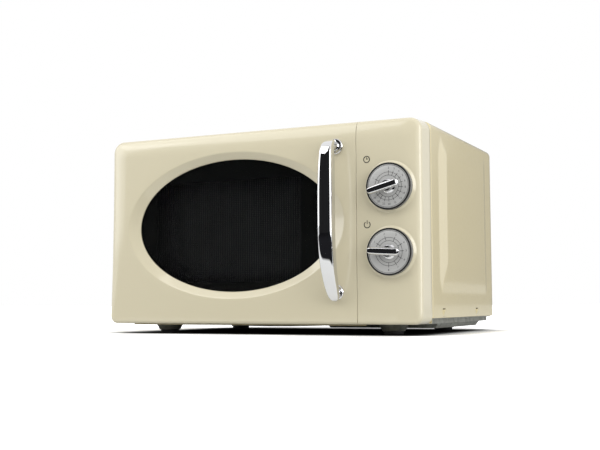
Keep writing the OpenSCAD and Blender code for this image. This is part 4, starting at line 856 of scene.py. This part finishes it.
@dataclass
class Controls:
    """The control panel with its two dials, their printed scales, icons and knobs."""

    lay: Layout
    dial_r: float = 27.75 * MM
    proud: float = 7.5 * MM

    def dials(self) -> dict[str, Pair]:
        """Give each dial's middle, from the shafts of the frame."""
        found = {}
        for name in ("timer", "power"):
            low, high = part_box(f"{name}_shaft")
            found[name] = ((low[0] + high[0]) / 2, (low[2] + high[2]) / 2)
        return found

    def panel(self) -> None:
        """Build the panel: the outer shell, and a flat face in two halves, each drawn in to its dial."""
        lay = self.lay
        x0 = lay.seam + lay.seam_gap / 2
        depth = lay.door_d + 0.8 * MM
        form = Moulding(lay, x0, lay.right, False, depth, hinge_r=5 * MM)
        edge = surface("panel_shell", np.stack(form.outer_rows() + form.inner_rows()), ABS, wrap_v=True)
        flat, back = form.loop(1.0), form.loop(1.0, grow=lay.wall)
        centres = self.dials()
        middle, hole_r = (centres["timer"][1] + centres["power"][1]) / 2, 12.4 * MM
        parts = [edge]
        for name, above in (("timer", True), ("power", False)):
            cx, cz = centres[name]
            for loop, depth_y in ((flat, 0.0), (back, lay.wall)):
                clipped = (np.maximum if above else np.minimum)(loop[:, 1], middle)
                outer = np.stack([loop[:, 0], clipped], -1)
                turn = np.arctan2(outer[:, 1] - cz, outer[:, 0] - cx)
                ring = np.stack([cx + hole_r * np.cos(turn), cz + hole_r * np.sin(turn)], -1)
                start = lift(outer, lay.face + depth_y + (form.drop(loop) if depth_y == 0 else 0.0))
                end = lift(ring, lay.face + depth_y)
                stack = [start * (1 - t) + end * t for t in np.linspace(0, 1, 5)]
                parts.append(surface(f"panel_face_{len(parts)}", np.stack(stack), ABS, wrap_v=True))
        keep(join("panel_moulding", parts, ABS), "cabinet", "control_panel")

    def bezel(self, name: str, cx: float, cz: float) -> None:
        """Turn the grey dial body, its dark rim line and the cream collar at its foot."""
        r, h = self.dial_r / MM, self.proud / MM
        at = (cx, self.lay.face, cz)
        body = [(0, 0.8 - h), (r - 1.3, 0.8 - h), (r - 1.25, 0.3 - h), (r - 1, -h), (r - 0.3, 0.05 - h),
                (r, 0.4 - h), (r, -1.5), (r, 3.2), (12, 3.2), (12, 5.5), (0, 5.5)]
        keep(turned(f"{name}_dial_body", body, at, DIAL_GREY, 128), "cabinet")
        rim = [(r - 1.9, 0.25 - h), (r - 1.7, -0.12 - h), (r - 0.35, -0.12 - h), (r + 0.06, 0.35 - h),
               (r + 0.06, 1.3 - h)]
        keep(turned(f"{name}_dial_rim", rim, at, BLACK_PLASTIC, 128), "cabinet")
        s = np.linspace(0, 1, 12)
        collar = np.stack([r + 0.1 + 3.6 * s, 0.02 - 2.1 * (1 - ease(s))], -1)
        collar = np.concatenate([[[r + 0.1, 0.4]], collar, [[r + 3.7, 0.4]]])
        grid = revolve(collar * MM, at, 128)
        grid[..., 1] += self.lay.front_drop(grid[..., ::2].reshape(-1, 2)).reshape(grid.shape[:2])
        keep(surface(f"{name}_dial_collar", grid, ABS, wrap_u=True, wrap_v=True), "cabinet")

    def plate(self, name: str, cx: float, cz: float, marks: list[tuple[float, str]]) -> None:
        """Print the dial's plate: rings, a tick and a number for each setting.

        Args:
            name: Which dial.
            cx: X of its middle.
            cz: Z of its middle.
            marks: Clock angle in degrees and number of each setting.
        """
        y = self.lay.face - self.proud + 0.45 * MM
        r = self.dial_r / MM - 1.4
        disc = [(0, 0), (4, 0), (r * 0.6, -0.02), (r - 0.3, 0), (r, 0.15), (r, 0.3), (0, 0.3)]
        keep(turned(f"{name}_plate", disc, (cx, y, cz), DIAL_SILVER, 128), "cabinet")
        top, ink_h = y - 0.06 * MM, 0.05
        tick, number_r = (12.8, 18.6), 21.4
        parts = []
        for ring_r, width in ((12.6, 0.45), (16.3, 0.45), (24.6, 0.4)):
            line = [(ring_r, 0), (ring_r + width, 0), (ring_r + width, ink_h), (ring_r, ink_h)]
            parts.append(turned("ring", line, (cx, top, cz), INK, 96, True))
        for angle, label in marks:
            way = np.array([math.sin(math.radians(angle)), math.cos(math.radians(angle))])
            parts.append(self.stroke(way * tick[0], way * tick[1], 0.28, (cx, top, cz), INK, [[0, 3, 2, 1]]))
            parts.append(self.number(label, cx + way[0] * number_r * MM, top, cz + way[1] * number_r * MM))
        keep(join(f"{name}_scale", parts, INK), "cabinet")

    def stroke(self, start: Points, end: Points, half: float, at: Spot, ink: Finish,
               order: list[list[int]]) -> Piece:
        """Print a straight stroke as one flat face.

        Args:
            start: Its start, in millimetres from the middle.
            end: Its end.
            half: Half its width, in millimetres.
            at: The middle, in metres.
            ink: What it is printed with.
            order: The face, as numbers of its corners.

        Returns:
            The stroke.
        """
        way = (end - start) / math.hypot(*(end - start))
        side = np.array([-way[1], way[0]]) * half
        quad = np.array([start + side, start - side, end - side, end + side]) * MM
        verts = np.stack([at[0] + quad[:, 0], np.full(4, at[1]), at[2] + quad[:, 1]], -1)
        return shell("stroke", verts, np.array(order), ink)

    def number(self, text: str, x: float, y: float, z: float) -> Piece:
        """Set a small number upright on the dial, as a flat mesh."""
        curve = bpy.data.curves.new("figure", "FONT")
        curve.body, curve.size = text, 3.4 * MM
        curve.align_x, curve.align_y = "CENTER", "CENTER"
        holder = linked("figure", curve)
        graph = bpy.context.evaluated_depsgraph_get()
        mesh = bpy.data.meshes.new_from_object(holder.evaluated_get(graph))
        bpy.data.objects.remove(holder)
        mesh.transform(Matrix.Translation((x, y, z)) @ Matrix.Rotation(math.pi / 2, 4, "X"))
        return linked("figure", mesh)

    def knob(self, name: str, cx: float, cz: float, turn_deg: float) -> None:
        """Build a knob: a dished chrome hub under a bar with sloping shoulders and a flat top.

        The bar is a loft along its length. At each station its half width follows the outline of a
        round tail and a blunt pointer, and its section has a flat top and sloping sides.

        Args:
            name: Body and node stem of the knob.
            cx: X of the shaft.
            cz: Z of the shaft.
            turn_deg: Clockwise turn of the pointer from pointing left.
        """
        base = 0.2 - 0.3 - self.proud / MM  # the plate's face, less the knob's gap
        hub = [(0, base), (8.8, base), (8.9, base - 0.4), (8.2, base - 1.2), (7, base - 2.2),
               (6.4, base - 4.2), (6.3, base - 6.5), (0, base - 6.5)]
        hub_part = turned("hub", hub, (0.0, self.lay.face, 0.0), CHROME, 72)
        u = np.concatenate([np.linspace(0, 0.06, 6), np.linspace(0.1, 0.84, 12), np.linspace(0.86, 1, 14)])
        u = u[:, None]
        tip, tail, half = -24.6 * MM, 16 * MM, 4.9 * MM
        x = tip + (tail - tip) * u
        blunt = np.clip((x - tip) / (3.0 * MM), 0, 1) ** 0.5
        near = np.clip((x - (tail - half)) / half, 0, 1)
        widening = 0.86 + 0.14 * np.clip((x - tip) / (14 * MM), 0, 1)
        plan = half * widening * blunt * np.sqrt(np.clip(1 - near ** 2, 0, 1))
        crown = np.sqrt(np.clip(1 - (near * 0.93) ** 2.2, 0, 1))
        crown = crown * np.clip((x - tip) / (1.2 * MM), 0.0, 1) ** 0.4
        # Section: foot, shoulder, top edge, flat top, and the same mirrored
        edge, rise = np.array([[1.0, 1.0, 0.9, 0.62, 0.55, 0.3], [0.0, 0.35, 0.62, 0.965, 0.995, 1.0]])
        across = np.concatenate([-edge, [0.0], edge[::-1]])[None, :]
        up = np.concatenate([rise, [1.0], rise[::-1]])[None, :]
        low_y, height = (base - 5.2) * MM, 5.6 * MM
        grid = np.stack([x + 0 * across, self.lay.face + low_y - height * up * crown, plan * across], -1)
        foot = grid[:, :1] * 0.5 + grid[:, -1:] * 0.5
        foot[..., 1] = self.lay.face + low_y
        bar = surface("bar", np.concatenate([grid, foot], 1), CHROME, wrap_v=True, sharp_deg=28)
        made = join(f"{name}_chrome", [hub_part, bar], CHROME)
        turn = Matrix.Rotation(math.radians(turn_deg), 4, Vector((0, 1, 0)))
        made.data.transform(Matrix.Translation((cx, 0, cz)) @ turn)
        made.data.set_sharp_from_angle(angle=math.radians(30))
        keep(made, name, f"{name}_knob")

    def icons(self) -> None:
        """Print a clock over the timer and a power mark over the lower dial."""
        y = self.lay.face - 0.06 * MM
        centres = self.dials()
        for name, dz in (("timer", 34.0), ("power", 33.0)):
            cx, cz = centres[name][0] - 29.5 * MM, centres[name][1] + dz * MM
            line = np.array([[3.2, 0.0], [4.3, 0.0], [4.3, 0.05], [3.2, 0.05]]) * MM
            grid = revolve(line, (cx, y, cz), 64)
            if name == "power":
                parts = [surface("ring", grid[:, 6:59], PANEL_INK, wrap_u=True)]
                strokes = [((0, 0.8), (0, 5.2))]
            else:
                parts = [surface("ring", grid, PANEL_INK, wrap_u=True, wrap_v=True)]
                strokes = [((0, 0), (0, 2.6)), ((0, 0), (1.9, 0.9))]
            parts += [self.stroke(np.array(a), np.array(b), 0.45, (cx, y, cz), PANEL_INK, [[0, 1, 2, 3]])
                      for a, b in strokes]
            keep(join(f"{name}_icon", parts, PANEL_INK), "cabinet")

    def build(self) -> None:
        """Make the panel and everything on it."""
        self.panel()
        labels = {
            "timer": list(zip((-61, 2, 21, 39, 57, 76, 96, 116, 135, 157, 177, 195, 214, 232),
                              "1 2 3 4 5 6 8 10 12 15 20 25 30 35".split())),
            "power": list(zip((-56, -15, 25, 61, 88, 117, 149, 181), "1 2 3 4 5 6 7 8".split())),
        }
        rest = {"timer": -15.0, "power": 3.5}
        for name, (cx, cz) in self.dials().items():
            self.bezel(name, cx, cz)
            self.plate(name, cx, cz, labels[name])
            self.knob(name, cx, cz, rest[name])
        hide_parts("dial_bezels")
        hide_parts("dial_plates")
        self.icons()


@dataclass
class Cabinet:
    """The painted cover, the feet and the metal parts that stay as the frame has them.

    Attributes:
        lay: The oven's layout.
        sheet, bend_r: The cover's sheet and the radius of its upper bends.
        press: How far the pressed panel stands out.
    """

    lay: Layout
    sheet: float = 0.8 * MM
    bend_r: float = 9 * MM
    press: float = 1.5 * MM

    def wrap(self, x: float, z0: float, z1: float, r: float) -> Points:
        """Sample the cover's path from its left lower edge, over the top, to its right lower edge."""
        rise = np.concatenate([np.linspace(0, 0.06, 4), np.linspace(0.09, 0.93, 44), np.linspace(0.95, 1, 3)])
        rise = rise[:, None]
        side = np.array([[-x, z0]]) * (1 - rise) + np.array([[-x, z1 - r]]) * rise
        left = bend((-x + r, z1 - r), r, 180, 90, 14)
        top = np.linspace(-x + r, x - r, 40)[1:-1]
        roof = np.stack([top, np.full(len(top), z1)], -1)
        right = bend((x - r, z1 - r), r, 90, 0, 14)
        return np.concatenate([side[:-1], left, roof, right, side[::-1][1:] * (-1, 1)])

    def pressed(self, s: float, z: Points, depth: float) -> Points:
        """Give the share of the pressed panel's height at a place on the cover's side.

        Each border rises in a straight slope, wide in front and narrow elsewhere, and the least of
        the four is taken, so that the slopes meet in mitres. The front slope starts later near the
        panel's ends, by a quarter ellipse, which points its tips.

        Args:
            s: Way back from the cover's front edge.
            z: Heights.
            depth: Depth of the cover.

        Returns:
            Shares from 0 to 1.
        """
        low, high = 50 * MM, 240 * MM
        from_end = np.minimum(z - low, high - z)
        start = 31 * MM + fillet_drop(from_end, 26 * MM, 16 * MM)
        slopes = [(s - start) / (29 * MM), (depth - 32 * MM - s) / (8 * MM), (z - low) / (36 * MM),
                  (high - z) / (16 * MM)]
        return np.clip(np.minimum.reduce([np.broadcast_to(v, z.shape) for v in slopes]), 0.0, 1.0)

    def lances(self, cover: Piece) -> None:
        """Slit the sheet near its lower edge and press a tongue out below each slit.

        A tongue stands out by its height times a level-ended rise over z and 1 - |v|^3 along y.
        """
        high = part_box("outer_cover")[1]
        x, half, out = high[0] - self.press, 5.5 * MM, 2.2 * MM
        slit, root_mm, rise_mm = (29.0 * MM, 31.4 * MM), 21.5, 8.6
        for side in (-1, 1):
            for n, depth_mm in enumerate((85.5, 233.0)):
                y = self.lay.y(depth_mm)
                ends = sorted((side * (x - 2 * MM), side * (x + 2 * MM)))
                cut(cover, (ends[0], y - half, slit[0]), (ends[1], y + half, slit[1]))
                v = np.linspace(-1, 1, 25)[None, :]
                rise = np.linspace(0, 1, 12)[:, None]
                proud = out * ease(rise * 1.15) * (1 - np.abs(v) ** 3)
                grid = np.stack([side * (x + proud), y + half * v + 0 * rise,
                                 (root_mm + rise_mm * rise) * MM + 0 * v], -1)
                tongue = surface(f"cover_lance_{'left' if side < 0 else 'right'}_{n + 1}", grid, ENAMEL)
                sheet(tongue, 0.6 * MM, -1.0 if side > 0 else 1.0)
                keep(tongue, "cabinet")

    def cover(self) -> None:
        """Fold the cover: its path carried from the front edge to the rear flange.

        The pressed panel in each side pushes the sheet out. Behind the rear bend the path shrinks
        inwards as the flange.
        """
        low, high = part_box("outer_cover")
        x, z1 = high[0] - self.press, high[2]
        front, rear = low[1], high[1]
        length, bend_mm = (rear - front) / MM, 1.4
        # Rows stand close where the sheet is hemmed and where the panel's slopes rise
        sweep = np.concatenate([[0.0, 0.6, 1.2, 2.4, 4.0], np.linspace(8, 27, 5), np.linspace(28, 64, 25),
                                np.linspace(70, length - 50, 12), np.linspace(length - 46, length - 20, 12),
                                [length - 8, length - bend_mm]]) * MM
        rows = []
        for s in sweep:
            hem = 1.6 * MM * max(0.0, 1 - s / (2.4 * MM)) ** 2
            path = self.wrap(x - hem, low[2], z1 - hem, self.bend_r)
            on_side = np.abs(path[:, 0]) > x - 1 * MM
            share = self.pressed(s, path[:, 1], rear - front)
            path[:, 0] += np.sign(path[:, 0]) * self.press * share * on_side
            rows.append(lift(path, front + s))
        for a in np.radians([25, 50, 75, 90]):
            inset = bend_mm * MM * (1 - math.cos(a))
            rows.append(lift(self.wrap(x - inset, low[2], z1 - inset, self.bend_r - inset),
                             rear - bend_mm * MM * (1 - math.sin(a))))
        for inset in (4, 8, 11.5):
            r = max(self.bend_r / MM - inset, 1.0) * MM
            rows.append(lift(self.wrap(x - inset * MM, low[2], z1 - inset * MM, r), rear))
        cover = surface("cover_wrap", np.stack(rows), ENAMEL, sharp_deg=50)
        sheet(cover, self.sheet, -1.0)
        self.lances(cover)
        cover.data.shade_smooth()
        cover.data.set_sharp_from_angle(angle=math.radians(30))
        keep(cover, "cabinet", "outer_cover")

    def feet(self) -> None:
        """Turn the four rubber feet, each with a chamfered tread and a dished face."""
        low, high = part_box("feet")
        r = 12.5 * MM
        profile = [(0, 0.8), (6, 0.8), (7, 0.1), (10.8, 0), (12, 0.5), (12.5, 1.4), (12.4, 3.6), (11.8, 4),
                   (3.6, 4), (3.6, 6), (0, 6)]
        for n, (x, y) in enumerate([(x, y) for x in (low[0], high[0]) for y in (low[1], high[1])], 1):
            cx, cy = x + math.copysign(r, -x), y + (r if y == low[1] else -r)
            ring = revolve(np.array(profile) * MM, (0, 0, 0), 48)
            grid = np.stack([cx + ring[..., 0], cy + ring[..., 2], ring[..., 1]], -1)
            keep(surface(f"foot_{n}", grid, RUBBER, wrap_v=True), "cabinet")
        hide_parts("feet")

    def dress(self) -> None:
        """Give every solid that stays its finish, and merged copies to the sheet parts that show."""
        bevels_mm = {"base_plate": 0.3, "back_panel": 0.0, "front_plate": 0.0}
        for name, finish in NODE_FINISH.items():
            if name in bevels_mm:
                dress_copy(name, finish, "cabinet", bevels_mm[name])
                continue
            materials = FRAME["nodes"][name].data.materials
            materials.clear()
            materials.append(finish.material())
        LOG.info("cabinet: %d solids dressed", len(NODE_FINISH))


@dataclass
class Studio:
    """Pale floor, plain soft light and the camera.

    Attributes:
        lens_mm, spot, yaw, pitch, roll: The camera's lens, place and angles in degrees.
        paper_front, paper_skew, paper_blur: Where the pale paper that gloss sees ends along Y, how
            much its edge runs askew, and how soft that edge is.
        wall_turn: Turns, in degrees, at which the dark wall begins and is full, at each side.
        wall_rise: Heights in the surroundings, -1 to 1, at which it begins and is full.
    """

    lens_mm: float = 60.17
    spot: Spot = (0.5908, -1.2462, 0.0382)
    yaw: float = 25.508
    pitch: float = 4.474
    roll: float = -0.242
    paper_front: float = -0.36
    paper_skew: float = 0.35
    paper_blur: float = 0.03
    wall_turn: tuple[Pair, ...] = ((-52, -48), (25, 21))
    wall_rise: tuple[Pair, ...] = ((0.9, 0.8), (-0.08, -0.05))

    def camera(self) -> None:
        """Stand the camera low at the right, turned to the left and a little up."""
        yaw, pitch, roll = (math.radians(v) for v in (self.yaw, self.pitch, self.roll))
        ahead = Vector((-math.sin(yaw) * math.cos(pitch), math.cos(yaw) * math.cos(pitch), math.sin(pitch)))
        right = Vector((math.cos(yaw), math.sin(yaw), 0))
        up = right.cross(ahead)
        turned = math.cos(roll) * right + math.sin(roll) * up
        top = -math.sin(roll) * right + math.cos(roll) * up
        data = bpy.data.cameras.new("camera")
        data.lens, data.sensor_width, data.clip_end = self.lens_mm, 36.0, 50.0
        cam = linked("camera", data)
        frame = Matrix((turned, top, -ahead)).transposed().to_4x4()
        frame.translation = self.spot
        cam.matrix_world = frame
        bpy.context.scene.camera = cam

    def floor(self) -> None:
        """Lay a wide white floor, which keeps the shadow and runs out into the white around it.

        The camera sees white with a painted contact shadow: ambient occlusion darkens it close to the oven's
        foot.
        Gloss sees pale paper under the oven that ends in front of it along a skewed edge, beyond which a
        near-black floor stands in as a painted dark reflection, and all other light meets an even grey.
        """
        made = bpy.data.materials.new("white floor")
        made.use_nodes = True
        tree = made.node_tree
        tree.nodes.clear()
        path = node(tree, "LightPath").outputs
        # Painted contact shadow: ambient occlusion darkens the colour that the camera sees near the oven
        near = node(tree, "AmbientOcclusion", {"Distance": 0.1}).outputs["AO"]
        white = blend(tree, calc(tree, "POWER", near, 2.2), (0.02, 0.02, 0.02, 1), (2.2, 2.2, 2.2, 1))
        colour = blend(tree, path["Is Camera Ray"], (0.55, 0.55, 0.54, 1), white)
        place = node(tree, "TexCoord").outputs["Object"]
        place = node(tree, "SeparateXYZ", {"Vector": place}).outputs
        edge = calc(tree, "MULTIPLY_ADD", place["X"], -self.paper_skew, place["Y"])
        paper = ramp(tree, edge, self.paper_front - self.paper_blur, self.paper_front)
        # Painted dark reflection: gloss alone sees a near-black floor in front of the paper's edge
        mirrored = blend(tree, paper, (0.012, 0.012, 0.014, 1), (0.84, 0.85, 0.84, 1))
        colour = blend(tree, path["Is Glossy Ray"], colour, mirrored)
        matt = node(tree, "BsdfDiffuse", {"Color": colour})
        node(tree, "OutputMaterial", {"Surface": matt.outputs[0]})
        side = np.linspace(-14, 14, 15)
        x, y = np.meshgrid(side, side, indexing="ij")
        verts = np.stack([x, y, 0 * x], -1)
        floor = surface("floor", verts, ABS)
        floor.data.materials.clear()
        floor.data.materials.append(made)

    def world(self) -> None:
        """Surround the oven with white, and let metal and glass see a dark studio wall in front.

        The wall takes up the turns and heights of wall_turn and wall_rise, with soft edges. The room
        straight behind is dim. Only glossy rays see either. What lights the oven is a little dimmer
        than the white that shows.
        """
        world = bpy.data.worlds.new("studio")
        bpy.context.scene.world = world
        world.use_nodes = True
        tree = world.node_tree
        tree.nodes.clear()
        place = node(tree, "TexCoord").outputs["Generated"]
        parts = node(tree, "SeparateXYZ", {"Vector": place}).outputs
        turn = calc(tree, "ARCTAN2", parts["X"], calc(tree, "MULTIPLY", parts["Y"], -1.0))
        edges = [ramp(tree, turn, math.radians(start), math.radians(full)) for start, full in self.wall_turn]
        wall = calc(tree, "MULTIPLY", *edges)
        for start, full in self.wall_rise:
            wall = calc(tree, "MULTIPLY", wall, ramp(tree, parts["Z"], start, full))
        behind = ramp(tree, parts["Y"], 0.925, 0.948, 0.0, 0.75)
        wall = calc(tree, "MAXIMUM", wall, behind)
        path = node(tree, "LightPath").outputs
        dark = calc(tree, "MULTIPLY", wall, path["Is Glossy Ray"])
        colour = blend(tree, dark, (1, 1, 1, 1), (0.016, 0.016, 0.017, 1))
        seen = calc(tree, "MAXIMUM", path["Is Camera Ray"], path["Is Glossy Ray"])
        seen = calc(tree, "MAXIMUM", seen, path["Is Transmission Ray"])
        back = node(tree, "Background", {"Color": colour, "Strength": ramp(tree, seen, 0.0, 1.0, 0.72, 1.0)})
        node(tree, "OutputWorld", {"Surface": back.outputs[0]})

    def lamps(self) -> None:
        """Hang large soft boxes above, at the upper left and at both sides; some show in the gloss."""
        for name, place, size, power, aim, mirrored in (
                ("overhead", (0.8, -1.4, 2.0), 2.0, 13.5, (0, 0, 0.1), False),
                ("upper left", (-1.0, -1.35, 1.62), 1.2, 9.5, (0, -0.1, 0.15), True),
                ("left box", (-1.56, -1.0, 0.8), 1.2, 7.5, (-0.2, -0.1, 0.15), True),
                ("right fill", (1.9, -0.8, 0.7), 1.25, 17.0, (0.2, 0, 0.12), True)):
            data = bpy.data.lights.new(name, "AREA")
            data.shape, data.size, data.energy = "SQUARE", size, power
            lamp = linked(name, data)
            lamp.location = place
            lamp.visible_glossy, lamp.visible_transmission = mirrored, False
            lamp.rotation_euler = (Vector(aim) - Vector(place)).to_track_quat("-Z", "Y").to_euler()

    def build(self) -> None:
        """Set up the stage."""
        self.camera()
        self.floor()
        self.world()
        self.lamps()
        bpy.context.scene.view_settings.view_transform = "Standard"


def main() -> None:
    """Load the frame and build each sub-assembly in order."""
    logging.basicConfig(level=logging.INFO, format="%(name)s: %(message)s")
    FRAME.update(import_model())
    lay = Layout.from_frame()
    Studio().build()
    door = Door(lay)
    door.frame()
    door.print_mask()
    door.screen()
    door.handle()
    Controls(lay).build()
    cabinet = Cabinet(lay)
    cabinet.cover()
    cabinet.feet()
    cabinet.dress()


if __name__ == "__main__":
    main()
